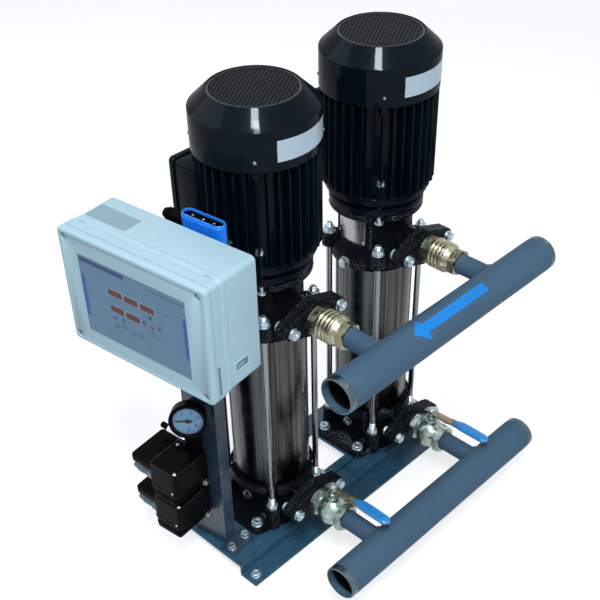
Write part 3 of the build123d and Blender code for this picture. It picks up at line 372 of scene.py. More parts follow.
LOOK = {
    # Black paints and plastics
    "cast": cast_paint(),
    "gloss": mottled("gloss_paint", ((25,), (0.001, 0.003, 0.006), (0.003, 0.008, 0.016)),
                     ((50,), 0.24, 0.36), ((260, 2), 0.0003, 0.25), specular=0.01, coat=0.12),
    "grille": mottled("grille_paint", ((90,), (0.003, 0.005, 0.007), (0.01, 0.015, 0.019)), None,
                      ((600, 2), 0.0002, 0.3), rough=0.45, specular=0.08),
    "black": mottled("black_plastic", ((30,), (0.001, 0.001, 0.001), (0.0045, 0.0045, 0.004)),
                     ((100,), 0.3, 0.46), ((1500, 2), 0.0002, 0.35), specular=0.015),
    "gloss_plastic": moulding("gloss_plastic", (0.003, 0.003, 0.003), (0.0015, 0.0015, 0.0015), 0.3,
                              0.0001, 0.03),
    # Painted highlight: a paler black moulding laid on edges where light catches them.
    "painted_edge_highlight": moulding("painted_edge_highlight", (0.06, 0.056, 0.05), (0.004, 0.004, 0.004), 0.3, 0.0002, 0.2),
    # Metals: rolled sheet, zinc, drawn rod, turned and oily steel, castings, lever plate, pipe end
    "guard": mottled("brushed_steel", ((9, 3, (1, 1, 0.2)), (0.2, 0.2, 0.2), (0.52, 0.515, 0.51)),
                     ((600, 2, (1, 1, 0.03)), 0.2, 0.4), ((900, 2, (1, 1, 0.02)), 0.0001, 0.3), metal=1.0),
    "zinc": mottled("zinc", ((90, 2), (0.3, 0.37, 0.42), (0.53, 0.61, 0.67)),
                    ((220,), 0.32, 0.46), ((900, 2), 0.0001, 0.2), metal=1.0),
    "rod": mottled("drawn_rod", ((260, 3, (1, 1, 0.02)), (0.13, 0.14, 0.15), (0.3, 0.31, 0.33)),
                   ((60, 2), 0.18, 0.3), metal=1.0),
    "bright": mottled("bright_steel", ((50, 3), (0.6, 0.61, 0.63), (0.88, 0.88, 0.88)), None,
                      ((900, 2, (0.05, 1, 1)), 0.0001, 0.3), rough=0.22, metal=1.0),
    "steel": mottled("dull_steel", ((60, 4), (0.28, 0.27, 0.26), (0.5, 0.5, 0.52)), None,
                     ((900, 2, (0.05, 0.05, 1)), 0.0001, 0.4), rough=0.36, metal=1.0),
    "nickel": mottled("nickel_plate", ((70, 4), (0.14, 0.19, 0.18), (0.42, 0.51, 0.49)),
                      ((120,), 0.22, 0.42), ((500, 2), 0.0002, 0.35),
                      [((180, 3), 0.5, 0.75, (0.56, 0.58, 0.46))], metal=1.0),
    "brass": mottled("pale_brass", ((60, 4), (0.2, 0.19, 0.13), (0.43, 0.42, 0.31)),
                     ((120,), 0.2, 0.38), ((420, 2), 0.0002, 0.3),
                     [((150, 3), 0.55, 0.8, (0.64, 0.62, 0.5))], metal=1.0),
    "lever_steel": mottled("lever_steel", ((90, 4), (0.1, 0.075, 0.05), (0.42, 0.37, 0.27)), None,
                           ((500, 3), 0.0002, 0.4), rough=0.34, metal=1.0),
    "bare_end": mottled("turned_end", ((140, 4), (0.04, 0.07, 0.095), (0.14, 0.19, 0.21)), None,
                        ((900, 2, (0.05, 1, 0.05)), 0.0004, 0.6), rough=0.3, metal=1.0),
    "winding": mottled("winding", ((300, 2), (0.12, 0.05, 0.025), (0.3, 0.14, 0.06)), None,
                       ((260, 2, (1, 1, 0.2)), 0.0008, 0.6), rough=0.4),
    # Blue paints, vinyl and plastics
    "sheet": sheet_paint("base_paint", (0.016, 0.058, 0.105), (0.036, 0.118, 0.205)),
    # Painted shade: the post's paint is the base paint made darker, for the shade of the control box above
    # it.
    "post": sheet_paint("shaded_post_paint", (0.016, 0.029, 0.052), (0.034, 0.062, 0.112)),
    "pipe": mottled("pipe_enamel", ((16, 3, (1, 0.35, 1)), (0.058, 0.108, 0.17), (0.08, 0.148, 0.23)),
                    ((30, 3), 0.36, 0.5), ((300, 2), 0.0003, 0.3),
                    [((260, 2), 0.7, 0.74, (0.09, 0.155, 0.23))], specular=0.03),
    "pipe_inside": pipe_inside(),
    "vinyl": mottled("azure_vinyl", ((70, 3), (0.005, 0.17, 0.54), (0.02, 0.32, 0.76)),
                     ((130,), 0.22, 0.4), ((420, 3), 0.0006, 0.4), coat=0.2),
    "panel": moulding("panel_plastic", (0.43, 0.625, 0.72), (0.39, 0.58, 0.675)),
    # Painted shade: darker copies of the panel plastic, for the joint under the lid, the slots and the
    # groove.
    "panel_shade": moulding("panel_painted_shade", (0.16, 0.24, 0.28), (0.12, 0.19, 0.23)),
    "painted_groove_shade": moulding("painted_groove_shade", (0.3, 0.42, 0.47), (0.26, 0.37, 0.42)),
    "inlet": moulding("inlet_blue", (0.015, 0.26, 0.95), (0.008, 0.16, 0.75), 0.3),
    "gland_grey": moulding("gland_grey", (0.2, 0.27, 0.36), (0.12, 0.17, 0.23), 0.35),
    "key": moulding("key_teal", (0.12, 0.24, 0.27), (0.09, 0.19, 0.22), 0.35),
    # Films, prints and lamps
    "clear": clear_window(),
    "label": printed("blank_label", (0.46, 0.57, 0.66), (0.38, 0.49, 0.59)),
    "sticker": printed("blank_sticker", (0.27, 0.4, 0.48), (0.22, 0.34, 0.42)),
    "azure": printed("azure_film", (0.008, 0.25, 0.74), (0.008, 0.2, 0.62)),
    "dial": printed("dial_blue", (0.17, 0.31, 0.46), (0.14, 0.27, 0.41)),
    "ink": printed("dial_ink", (0.01, 0.012, 0.02), (0.008, 0.01, 0.015)),
    "print": printed("plate_film", (0.135, 0.255, 0.39), (0.105, 0.215, 0.35)),
    "print_navy": printed("plate_navy", (0.02, 0.06, 0.2), (0.015, 0.045, 0.16)),
    "print_blue": printed("plate_blue", (0.03, 0.1, 0.45), (0.02, 0.08, 0.36)),
    "print_grey": printed("plate_grey", (0.09, 0.14, 0.2), (0.07, 0.11, 0.17)),
    "print_pale": printed("plate_pale", (0.19, 0.3, 0.43), (0.16, 0.27, 0.4)),
    "display_rim": printed("display_rim", (0.3, 0.36, 0.43), (0.24, 0.31, 0.39)),
    "display": printed("display_red", (0.085, 0.012, 0.012), (0.05, 0.008, 0.008), 0.12),
    "segment": printed("display_segment", (0.2, 0.025, 0.025), (0.16, 0.018, 0.018), 0.15),
    "led_green": printed("led_green", (0.03, 0.2, 0.12), (0.02, 0.12, 0.08), 0.15),
    "led_red": printed("led_red", (0.4, 0.03, 0.03), (0.25, 0.02, 0.02), 0.15),
    "led_blue": printed("led_blue", (0.03, 0.16, 0.6), (0.02, 0.1, 0.42), 0.15),
    "led_off": printed("led_off", (0.03, 0.06, 0.07), (0.02, 0.04, 0.05), 0.15),
}
for side in SIDES:
    LOOK["tube_" + side] = polished_tube("polished_" + side, PUMP_Y[side])


# Shapes: each is a list of points and a list of faces, in millimetres

# Solid turned shapes start this far from their axis
CORE = 0.05


def rounded(outline, radius, steps=3, closed=True):
    """Rounds the corners of a flat outline."""
    n = len(outline)
    out = []
    for i, point in enumerate(outline):
        if not closed and i in (0, n - 1):
            out.append(tuple(point))
            continue
        here = Vector(point)
        before = Vector(outline[i - 1]) - here
        after = Vector(outline[(i + 1) % n]) - here
        reach = radius / max(0.2, tan(before.angle(after) / 2))
        cut = min(reach, before.length * 0.49, after.length * 0.49)
        start = here + before.normalized() * cut
        end = here + after.normalized() * cut
        for k in range(steps + 1):
            t = k / steps
            out.append(tuple((1 - t) ** 2 * start + 2 * t * (1 - t) * here + t * t * end))
    return out


def grow(outline, d):
    """Moves a counter-clockwise outline outwards by d."""
    n = len(outline)
    out = []
    for i in range(n):
        before, here, after = (Vector(outline[k % n]) for k in (i - 1, i, i + 1))
        first = (here - before).normalized()
        second = (after - here).normalized()
        a = Vector((first.y, -first.x))
        b = Vector((second.y, -second.x))
        out.append(tuple(here + (a + b) * d / max(0.5, 1 + a.dot(b))))
    return out


def arc(r, first, last, steps, x=0.0, y=0.0):
    """Points of a round stretch between two angles in degrees."""
    turns = [radians(first + (last - first) * k / steps) for k in range(steps + 1)]
    return [(x + r * cos(a), y + r * sin(a)) for a in turns]


def circle(r, count):
    """Points all the way round."""
    return arc(r, 0, 360 - 360 / count, count - 1)


def box_outline(width, depth, corner=1.0, steps=4):
    """Rectangle about the origin with round corners, counter-clockwise."""
    w, d = width / 2, depth / 2
    return rounded([(w, -d), (w, d), (-w, d), (-w, -d)], corner, steps)


def stadium(length, width, steps=16):
    """Oblong outline with half-round ends."""
    right = arc(width / 2, -90, 90, steps, x=(length - width) / 2)
    return right + [(-x, -y) for x, y in right]


def oval(middle_r, reach, end_r, steps=14):
    """Outline of a two-bolt flange: a middle circle and two lugs along Y, joined by tangents."""
    lean = degrees(acos((middle_r - end_r) / reach))
    half = arc(middle_r, lean - 90, 90 - lean, steps) + arc(end_r, 90 - lean, 90 + lean, steps, y=reach)
    return half + [(-x, -y) for x, y in half]


def band(inner, outer, low, high):
    """Square profile of a ring."""
    return [(inner, low), (outer, low), (outer, high), (inner, high)]


def quarter(r, top, steps=6):
    """Offsets and heights of an edge rounded by r that ends flat at the given height."""
    return [(d - r, top - r + z) for d, z in arc(r, 0, 90, steps)]


def profiled(outline, profile):
    """Loops of one outline, each moved out by an offset and set at a height."""
    return [[(x, y, z) for x, y in grow(outline, d)] for d, z in profile]


def skin(loops, joined=False):
    """Faces between loops of equally many points, which are joined to a ring or get a cap on each end."""
    n, last = len(loops[0]), len(loops) - 1
    points = [p for loop in loops for p in loop]
    faces = []
    for a in range(last + joined):
        b = (a + 1) % (last + 1)
        faces += [[a * n + k, a * n + (k + 1) % n, b * n + (k + 1) % n, b * n + k] for k in range(n)]
    if not joined:
        faces += [list(range(n))[::-1], [last * n + k for k in range(n)]]
    return points, faces


def walled(outline, profile, joined=False):
    """One outline all the way up, moved out or in by the offsets of a profile."""
    return skin(profiled(outline, profile), joined)


def lathe(profile, turns=96, start=0.0, sweep=360.0):
    """Turns a closed profile of radius and height pairs about Z."""
    full = sweep >= 360
    angles = [radians(start + sweep * k / turns) for k in range(turns if full else turns + 1)]
    return skin([[(r * cos(a), r * sin(a), z) for r, z in profile] for a in angles], joined=full)


def rod(r, low, high, turns=24):
    """Plain cylinder along Z."""
    return lathe(band(CORE, r, low, high), turns)


def bar(outline, low, high, edge=0.5, steps=2):
    """Extrudes an outline along Z with rounded edges at both ends."""
    foot = [(d, low - z) for d, z in quarter(edge, 0, steps)]
    return walled(outline, foot[::-1] + quarter(edge, high, steps))


def nut(across, height, bore=0.0, low_chamfer=False, around=48):
    """Hexagon with chamfered corners that stands on z = 0, open along its bore."""
    flat_r = across / 2 * 0.97
    inner = max(bore, CORE)
    loops = []
    for a in (2 * pi * k / around for k in range(around)):
        r = across / 2 / cos(a % (pi / 3) - pi / 6)
        drop = max(0.0, r - flat_r) * 0.55
        foot = [(flat_r, 0), (r, drop)] if low_chamfer else [(r, 0)]
        profile = [(inner, 0), *foot, (r, height - drop), (flat_r * 0.985, height), (inner, height)]
        loops.append([(d * cos(a), d * sin(a), z) for d, z in profile])
    return skin(loops, joined=True)


def washer(r, bore, thickness, around=40):
    """Flat washer that stands on z = 0."""
    return lathe(rounded(band(bore, r, 0, thickness), 0.3, 2), around)


def thread(r, length, pitch=1.75, around=20):
    """Screw thread along Z from z = 0, as one helical ridge."""
    root = r - 0.6 * pitch
    count = int(length / pitch) * around
    points, faces = [], []
    for k in range(count + 1):
        a = 2 * pi * k / around
        z = pitch * k / around
        points += [(r * cos(a), r * sin(a), z), (root * cos(a), root * sin(a), z + pitch / 2)]
    for k in range(count):
        faces.append([2 * k, 2 * k + 2, 2 * k + 3, 2 * k + 1])
        if k + around + 1 <= count:
            faces.append([2 * k + 1, 2 * k + 3, 2 * (k + around) + 2, 2 * (k + around)])
    return points, faces


def tube(path, r, around):
    """Round bead along a closed path of points."""
    loops = []
    side = None
    for i, here in enumerate(path):
        ahead = (Vector(path[(i + 1) % len(path)]) - Vector(path[i - 1])).normalized()
        side = ahead.orthogonal() if side is None else side
        side = (side - ahead * side.dot(ahead)).normalized()
        other = ahead.cross(side)
        turns = [2 * pi * k / around for k in range(around)]
        loops.append([Vector(here) + r * (cos(a) * side + sin(a) * other) for a in turns])
    return skin(loops, joined=True)


def perforated_disc(r, pitch, hole_r, low, high):
    """Punched round sheet: round holes on a triangular lattice, each in a cell with six corners."""
    index, faces = {}, []

    def corner(*spot):
        return index.setdefault(tuple(round(c, 3) for c in spot), len(index))

    rise = pitch * sqrt(3) / 2
    rows = int(r / rise) + 1
    for row in range(-rows, rows + 1):
        for column in range(-rows - 1, rows + 2):
            x, y = (column + row % 2 / 2) * pitch, row * rise
            if hypot(x, y) > r - hole_r - 0.2:
                continue
            spokes = []
            for k in range(13):
                a = radians(30 * k)
                reach = pitch / sqrt(3) if k % 2 else pitch / 2
                spokes.append([corner(x + d * cos(a), y + d * sin(a), z) for d, z in
                               ((reach, high), (hole_r, high), (hole_r, low), (reach, low))])
            for a, b in zip(spokes, spokes[1:]):
                faces += [[a[m], b[m], b[m + 1], a[m + 1]] for m in range(3)]
    return list(index), faces


# Places

def at(x=0.0, y=0.0, z=0.0):
    return Matrix.Translation((x, y, z))


def up(z):
    return at(z=z)


def about_z(degree):
    return Matrix.Rotation(radians(degree), 4, "Z")


def lay(axis, sign=1):
    """Turns what is drawn along +Z to lie along another axis."""
    if axis == "x":
        return Matrix.Rotation(sign * pi / 2, 4, "Y")
    return Matrix.Rotation(-sign * pi / 2, 4, "X")


def at_pump(side, x=0.0, y=0.0, z=0.0):
    return at(x, PUMP_Y[side] + y, DECK_Z + z)


def diagonals(r):
    return arc(r, 45, 315, 3)


def corners(x, y):
    return [(sx * x, sy * y) for sx in (1, -1) for sy in (1, -1)]


UPSIDE_DOWN = Matrix.Rotation(pi, 4, "X")
COLUMN = at(*COLUMN_PLACE) @ about_z(COLUMN_TURN)


class Piece:
    """A mesh put together from shapes, each with its look and its places."""

    def __init__(self):
        self.points, self.faces, self.marks, self.looks = [], [], [], []

    def add(self, shape, look, *places):
        points, faces = shape
        if look not in self.looks:
            self.looks.append(look)
        for place in places or (Matrix(),):
            start = len(self.points)
            self.points += [place @ Vector(p) for p in points]
            self.faces += [[start + i for i in face] for face in faces]
            self.marks += [self.looks.index(look)] * len(faces)

    def object(self, name, sharp=32.0):
        """The piece as an object in metres."""
        mesh = bpy.data.meshes.new(name)
        mesh.from_pydata([p * MM for p in self.points], [], self.faces)
        for look in self.looks:
            mesh.materials.append(LOOK[look])
        mesh.polygons.foreach_set("material_index", self.marks)
        work = bmesh.new()
        work.from_mesh(mesh)
        bmesh.ops.recalc_face_normals(work, faces=work.faces)
        work.to_mesh(mesh)
        work.free()
        mesh.shade_smooth()
        mesh.set_sharp_from_angle(angle=radians(sharp))
        return placed(name, mesh)

    def made(self, name, slot, *replaced, body="frame", sharp=32.0):
        """Makes the object, lets it ride on its body and stand for the nodes it replaces."""
        thing = self.object(name, sharp)
        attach(thing, body)
        for node in replaced:
            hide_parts(node)
        return thing


# Small parts

def hex_bolt(piece, across, height, *places):
    """Bolt head on its washer, with a shallow dish in the head."""
    piece.add(washer(across * 0.62, across * 0.25, 1.6), "zinc", *places)
    heads = [p @ up(1.6) for p in places]
    piece.add(nut(across, height, across * 0.3), "zinc", *heads)
    dish = [(CORE, 0), (across * 0.32, 0), (across * 0.32, height - 0.3), (across * 0.28, height - 0.7),
            (CORE, height - 0.8)]
    piece.add(lathe(dish, 32), "zinc", *heads)


def stud_end(piece, r, length, look, *places):
    """Threaded rod end with a chamfered tip, along +Z."""
    piece.add(thread(r, length - 1), look, *places)
    core = [(CORE, 0), (r - 1.0, 0), (r - 1.0, length - 0.8), (r - 1.6, length), (CORE, length)]
    piece.add(lathe(core, 24), look, *places)


def button_screw(piece, r, look, *places):
    """Round headed screw."""
    head = [(CORE, 0), (r, 0), (r, 0.5 * r), (0.6 * r, 0.75 * r), (CORE, 0.8 * r)]
    piece.add(lathe(rounded(head, 0.25 * r, 4), 28), look, *places)


def gland(piece, r, length, look, *places):
    """Cable gland along +Z: hexagon, ribbed dome nut and the dark mouth of its seal."""
    piece.add(nut(2.1 * r, 0.3 * length, low_chamfer=True), look, *places)
    dome = [(0.5 * r, 0.3 * length), (0.92 * r, 0.3 * length), (0.92 * r, 0.75 * length),
            (0.7 * r, length), (0.5 * r, length)]
    piece.add(lathe(rounded(dome, 0.1 * r, 3), 48), look, *places)
    rib = bar(box_outline(0.16 * r, 0.1 * r, 0.02 * r, 1), 0.32 * length, 0.74 * length, 0.1)
    piece.add(rib, look, *[p @ about_z(20 * k) @ at(0.92 * r) for p in places for k in range(18)])
    mouth = [(CORE, 0.3 * length), (0.5 * r, 0.3 * length), (0.46 * r, 0.9 * length), (CORE, 0.88 * length)]
    piece.add(lathe(mouth, 24), "black", *places)


# Motor

COWL_SHEET = 1.6
COWL_CONE = 23.0
GRILLE_R = 67.0
GRILLE_PITCH = 6.6
GRILLE_HOLE_R = 2.15
GRILLE_RECESS = 1.6
LABEL_MIDDLE = 6.0
LABEL_HALF = 32.0
LABEL_BAND = (14.0, 46.0)
COWL_SCREW_Z = 16.5


def cowl(side):
    """Fan cover: skirt, cone, rolled rim, punched grille, blank label and its four screws."""
    node = "fan_cover_" + side
    low, high = node_box(node)
    r = (high.x - low.x) / 2
    top = high.z - low.z
    shoulder = top - COWL_CONE
    sill = top - GRILLE_RECESS
    g = GRILLE_R
    shell = [(r, 0), (r, shoulder - 2), (r - 2, shoulder), (g + 2.6, top), (g + 0.2, top),
             (g - 0.4, sill - 1.4), (g - 2.2, sill - 1.4), (g - 2.2, sill - 3), (g + 1, sill - 3),
             (r - 3.6, shoulder - 1.5), (r - COWL_SHEET, shoulder - 3), (r - COWL_SHEET, 0)]
    piece = Piece()
    foot = at(0, PUMP_Y[side], low.z)
    piece.add(lathe(rounded(shell, 0.8), 160), "gloss", foot)
    piece.add(perforated_disc(g - 0.5, GRILLE_PITCH, GRILLE_HOLE_R, sill - 1.2, sill), "grille", foot)
    # The paler ring round the grille is a painted highlight on its rim.
    rim = rounded(band(g - 3.2, g + 0.3, sill, sill + 0.5), 0.2, 2)
    piece.add(lathe(rim, 120), "painted_edge_highlight", foot)
    label = band(r + 0.02, r + 0.25, *LABEL_BAND)
    piece.add(lathe(label, 32, LABEL_MIDDLE - LABEL_HALF, 2 * LABEL_HALF), "label", foot)
    spots = [foot @ about_z(a) @ at(r - 0.1, 0, COWL_SCREW_Z) @ lay("x") for a in (45, 135, 225, 315)]
    button_screw(piece, 2.7, "rod", *spots)
    piece.made("cowl_" + side, "motor_black", node)


FIN_COUNT = 36
FIN_CORE_R = 78.0
FIN_TIP_R = 95.0
FIN_ROOT = 4.4
FIN_TIP = 2.4
FIN_FREE_HALF = 34.0
FIN_SLOPE = 5.0
FRAME_BORE_R = 70.0
LOW_RING_R = 88.0
TOP_RING_R = 86.0
BOSS_CIRCLE = 83.0
LUG_CIRCLE = 86.4


def finned_loop(tip, z):
    """Cross-section of the frame at one height: tapered fins, but none beside the terminal box."""
    out = []
    for k in range(FIN_COUNT):
        middle = (k + 0.5) * 360 / FIN_COUNT
        end = FIN_CORE_R + 0.01 if abs(middle - 180) < FIN_FREE_HALF else tip
        half = [(FIN_CORE_R, FIN_ROOT / 2), (end - 1.2, FIN_TIP / 2), (end - 0.3, FIN_TIP * 0.36)]
        for r, across in [(r, -w) for r, w in half] + [(end, 0)] + half[::-1]:
            a = radians(middle) + across / r
            out.append((r * cos(a), r * sin(a), z))
    return out


def motor_frame(side):
    """Finned motor frame with end rings, bolt bosses and the pad of the terminal box."""
    node = "motor_frame_" + side
    bottom, top = (corner.z for corner in node_box(node))
    low, high = bottom + 9, top - 13
    ends = [(8, 0), (2, FIN_SLOPE * 0.4), (0, FIN_SLOPE)]
    loops = [finned_loop(FIN_TIP_R - d, low + z) for d, z in ends]
    loops += [finned_loop(FIN_TIP_R - d, high - z) for d, z in ends[::-1]]
    piece = Piece()
    axis = at(0, PUMP_Y[side], 0)
    piece.add(skin(loops), "gloss", axis)
    for r, z0, z1 in ((LOW_RING_R, bottom, bottom + 10), (TOP_RING_R, top - 14, top)):
        piece.add(lathe(rounded(band(FRAME_BORE_R, r, z0, z1), 1.5), 128), "gloss", axis)
    boss = rounded([(CORE, bottom + 0.2), (9, bottom + 0.2), (9, bottom + 33), (CORE, bottom + 34)], 1.5)
    piece.add(lathe(boss, 40), "gloss", *[axis @ at(x, y) for x, y in diagonals(BOSS_CIRCLE)])
    hex_bolt(piece, 11, 5, *[axis @ at(x, y, bottom + 33.8) for x, y in diagonals(BOSS_CIRCLE)])
    lug = rounded([(CORE, top - 26), (7.6, top - 26), (7.9, top - 4.2), (CORE, top - 4.2)], 1.5)
    piece.add(lathe(lug, 40), "gloss", *[axis @ at(x, y) for x, y in diagonals(LUG_CIRCLE)])
    piece.add(bar(box_outline(30, 80, 3), bottom + 25, bottom + 105, 1.0), "gloss", axis @ at(-75))
    piece.made("fins_" + side, "motor_black", node)


SCREW_PROUD = 2.5
TERMINAL_HEIGHT = 100.0
TERMINAL_LID = 12.0


def terminal_box(side):
    """Terminal box with its lid, four lid screws and the gland under it."""
    node = "terminal_box_" + side
    low, high = node_box(node)
    width = high.y - low.y - 4
    height = TERMINAL_HEIGHT
    middle = high.z - 2 - height / 2
    reach = -low.x - SCREW_PROUD
    seam = reach - TERMINAL_LID
    piece = Piece()
    place = at(0, PUMP_Y[side], middle) @ lay("x", -1)
    piece.add(bar(box_outline(height, width, 8), -high.x, seam - 0.6, 0.6), "gloss", place)
    piece.add(bar(box_outline(height - 3, width - 3, 7), seam - 0.7, seam + 0.1, 0.1), "black", place)
    lid = box_outline(height + 4, width + 4, 9, 6)
    loops = profiled(lid, [(-0.6, seam), (0, seam + 0.8)] + quarter(4.5, reach, 5))
    for inset, depth in ((20, 0), (23, 1.0)):
        loops += profiled(box_outline(height - inset, width - inset, 3, 6), [(0, reach - depth)])
    piece.add(skin(loops), "gloss", place)
    spots = [place @ at(x, y, reach - 0.3) for x, y in corners(height / 2 - 7, width / 2 - 7)]
    button_screw(piece, 3.4, "zinc", *spots)
    foot = at((high.x - seam) / 2, PUMP_Y[side], middle - height / 2 + 0.5) @ UPSIDE_DOWN
    gland(piece, 10, 20, "black", foot)
    piece.made("terminal_" + side, "motor_black", node)


# Pump

ROD_CIRCLE = 79.0
ROD_R = 6.0
ROD_SHANK_R = 5.3
ROD_NUT = 18.0
NUT_HEIGHT = 10.0
FOOT_LUG_TOP = 45.0
HEAD_LUG_TOP = 450.0


def sleeve(side):
    """Outer sleeve of the pump's stages."""
    node = "sleeve_" + side
    low, high = node_box(node)
    r = (high.x - low.x) / 2
    piece = Piece()
    wall = rounded(band(r - 1.5, r, low.z, high.z), 0.4)
    piece.add(lathe(wall, 200), "tube_" + side, at(0, PUMP_Y[side]))
    piece.made("outer_tube_" + side, "stainless", node)


def rods():
    """Tie rods with rolled threads, nuts and washers."""
    piece = Piece()
    shank = rounded(band(CORE, ROD_SHANK_R, FOOT_LUG_TOP - 26, HEAD_LUG_TOP - 3), 0.8)
    for side in SIDES:
        for x, y in diagonals(ROD_CIRCLE):
            spot = at_pump(side, x, y)
            foot, head = spot @ up(FOOT_LUG_TOP), spot @ up(HEAD_LUG_TOP)
            piece.add(lathe(shank, 48), "rod", spot)
            piece.add(nut(ROD_NUT, NUT_HEIGHT, ROD_R - 0.5, True), "zinc", foot)
            piece.add(thread(ROD_R + 0.05, 18), "zinc", foot @ up(8))
            piece.add(washer(11, ROD_R, 1.8), "zinc", head @ up(-0.1))
            piece.add(nut(ROD_NUT, NUT_HEIGHT - 1.8, ROD_R - 0.5, True), "zinc", head @ up(1.8))
            stud_end(piece, ROD_R - 0.1, 22, "zinc", head @ up(-4))
    piece.made("threaded_rods", "zinc", "tie_rods")


FLANGE_REACH = 52.0
FLANGE_T = 12.0
PORT_X = 104.0
SUCTION_Z = 68.0
DISCHARGE_Z = 463.0
PORTS = [at_pump(side, PORT_X, 0, z) @ lay("x") for side in SIDES for z in (SUCTION_Z, DISCHARGE_Z)]
PORT_BOLT = 16.0


def port_flanges():
    """Loose oval flanges with a raised collar towards the valve."""
    piece = Piece()
    piece.add(bar(oval(30, FLANGE_REACH, 13), 0.25, FLANGE_T - 0.3, 1.2, 3), "cast", *PORTS)
    collar = rounded([(16, 6), (26, 6), (24.5, FLANGE_T), (16, FLANGE_T)], 1.0)
    piece.add(lathe(collar, 72), "cast", *PORTS)
    piece.made("oval_flanges", "cast_black", "port_flanges")


def port_bolts():
    """Bolts, washers and nuts through the oval flanges."""
    piece = Piece()
    spots = [port @ at(0, s * FLANGE_REACH) for port in PORTS for s in (1, -1)]
    faces = [spot @ up(FLANGE_T) for spot in spots]
    hex_bolt(piece, PORT_BOLT, 5.4, *[spot @ up(-FLANGE_T) @ UPSIDE_DOWN for spot in spots])
    piece.add(rod(4.9, -FLANGE_T, FLANGE_T, 20), "zinc", *spots)
    piece.add(washer(PORT_BOLT * 0.6, 5, 1.6), "zinc", *faces)
    piece.add(nut(PORT_BOLT, 6.6, 4.4, True), "zinc", *[face @ up(1.6) for face in faces])
    stud_end(piece, 5, 12, "zinc", *[face @ up(-1) for face in faces])
    piece.made("flange_bolts", "zinc", "port_bolts")


# Places of the bolts in the feet, the post's tab and the lantern's top flange, and of the anchor bolt
FOOT_BOLTS = [at_pump(side, x, y, 16) for side in SIDES for x, y in corners(43.0, 83.0)]
POST_BOLTS = [COLUMN @ at(48.0, y, 3) for y in (-2.0, 34.0)]
MOTOR_BOLTS = [at_pump(side, x, y, 512.0) for side in SIDES for x, y in diagonals(72.5)]
ANCHOR_BOLT = at(102.5, -258, 4)


def bolts():
    """Hexagon bolts of the feet and the post, and of the motors from below."""
    piece = Piece()
    hex_bolt(piece, 17, 7, *FOOT_BOLTS)
    piece.add(rod(5.4, -31, 1, 20), "zinc", *FOOT_BOLTS)
    hex_bolt(piece, 13, 7, *POST_BOLTS)
    piece.add(rod(4, -19, 1, 20), "zinc", *POST_BOLTS)
    piece.made("hold_down_bolts", "zinc", "deck_bolts")
    piece = Piece()
    hex_bolt(piece, 13, 4.4, *[spot @ UPSIDE_DOWN for spot in MOTOR_BOLTS])
    piece.add(rod(3.9, 0, 24, 20), "zinc", *MOTOR_BOLTS)
    piece.made("motor_screws", "zinc", "motor_bolts")


# Plugs: distance from the axis, height, width over the flats and length
VENT_PLUG = (76, 421, 17, 8)
DRAIN_PLUG = (62, 46, 15, 7)


def plugs():
    """Vent and drain plugs with their sealing rings."""
    piece = Piece()
    for side in SIDES:
        for r, z, across, length in (VENT_PLUG, DRAIN_PLUG):
            spot = at_pump(side, 0, 0.1 - r, z) @ lay("y", -1)
            piece.add(washer(across * 0.62, 3, 1.6), "nickel", spot)
            piece.add(nut(across, length - 1.6), "nickel", spot @ up(1.5))
    piece.made("sealing_plugs", "nickel", "pump_plugs")


GUARD_R = 60.2
GUARD_T = 1.2
GUARD_MIDDLES = (82, 262)
GUARD_SWEEP = 67


def guards(side):
    """Curved coupling guards with a screw at each corner."""
    node = "coupling_guards_" + side
    low, high = (corner.z - DECK_Z for corner in node_box(node))
    piece = Piece()
    sheet = rounded(band(GUARD_R, GUARD_R + GUARD_T, low, high), 0.3, 2)
    for middle in GUARD_MIDDLES:
        piece.add(lathe(sheet, 40, middle - GUARD_SWEEP / 2, GUARD_SWEEP), "guard", at_pump(side))
        for edge in (-30, 30):
            turned = at_pump(side) @ about_z(middle + edge)
            for z in (low + 6, high - 6):
                button_screw(piece, 2.6, "zinc", turned @ at(GUARD_R + 1.1, 0, z) @ lay("x"))
    piece.made("guard_sheets_" + side, "stainless", node)


# Valves and pipes

VALVE_X = 116.0
VALVE_LENGTH = 70.0
VALVE_MIDDLE = VALVE_LENGTH / 2
VALVE_HEX = 46.0
VALVE_END = 14.0
BELLY_R = 27.6
CAVITY_R = 20.8


def ball_valve(side):
    """Ball valve body: two hexagon ends, a round hollow belly with a ridge, and the packing nut."""
    piece = Piece()
    place = at_pump(side, VALVE_X, 0, SUCTION_Z) @ lay("x")
    ends = [place, place @ up(VALVE_LENGTH - VALVE_END)]
    piece.add(nut(VALVE_HEX, VALVE_END, 14.5, True), "nickel", *ends)
    neck = [(14.2, 12), (20, 12), (20.5, 16)]
    belly = neck + arc(BELLY_R, -42, 42, 14, y=VALVE_MIDDLE)
    belly += [(r, VALVE_LENGTH - z) for r, z in neck[::-1]] + arc(CAVITY_R, 47, -43, 15, y=VALVE_MIDDLE)
    piece.add(lathe(belly), "nickel", place)
    ridge = rounded(band(27, 28.4, VALVE_MIDDLE - 1.4, VALVE_MIDDLE + 1.4), 0.7)
    piece.add(lathe(ridge), "nickel", place)
    stem = at_pump(side, VALVE_X + VALVE_MIDDLE, 0, SUCTION_Z)
    bonnet = rounded([(5.2, 20), (12, 20), (11, 31), (13, 33), (13, 36), (5.2, 36)], 1.0)
    piece.add(lathe(bonnet, 48), "nickel", stem)
    piece.add(nut(17, 7, 5.2, True), "nickel", stem @ up(36))
    piece.made("valve_body_" + side, "nickel", "ball_valve_" + side)


BALL_R = 20.0
PLATE_Z = 51.5
PLATE_HALF = 8.0
PLATE_TAPER = 0.72
GRIP_START = 48.0
GRIP_LENGTH = 79.0
GRIP_Z = 56.6


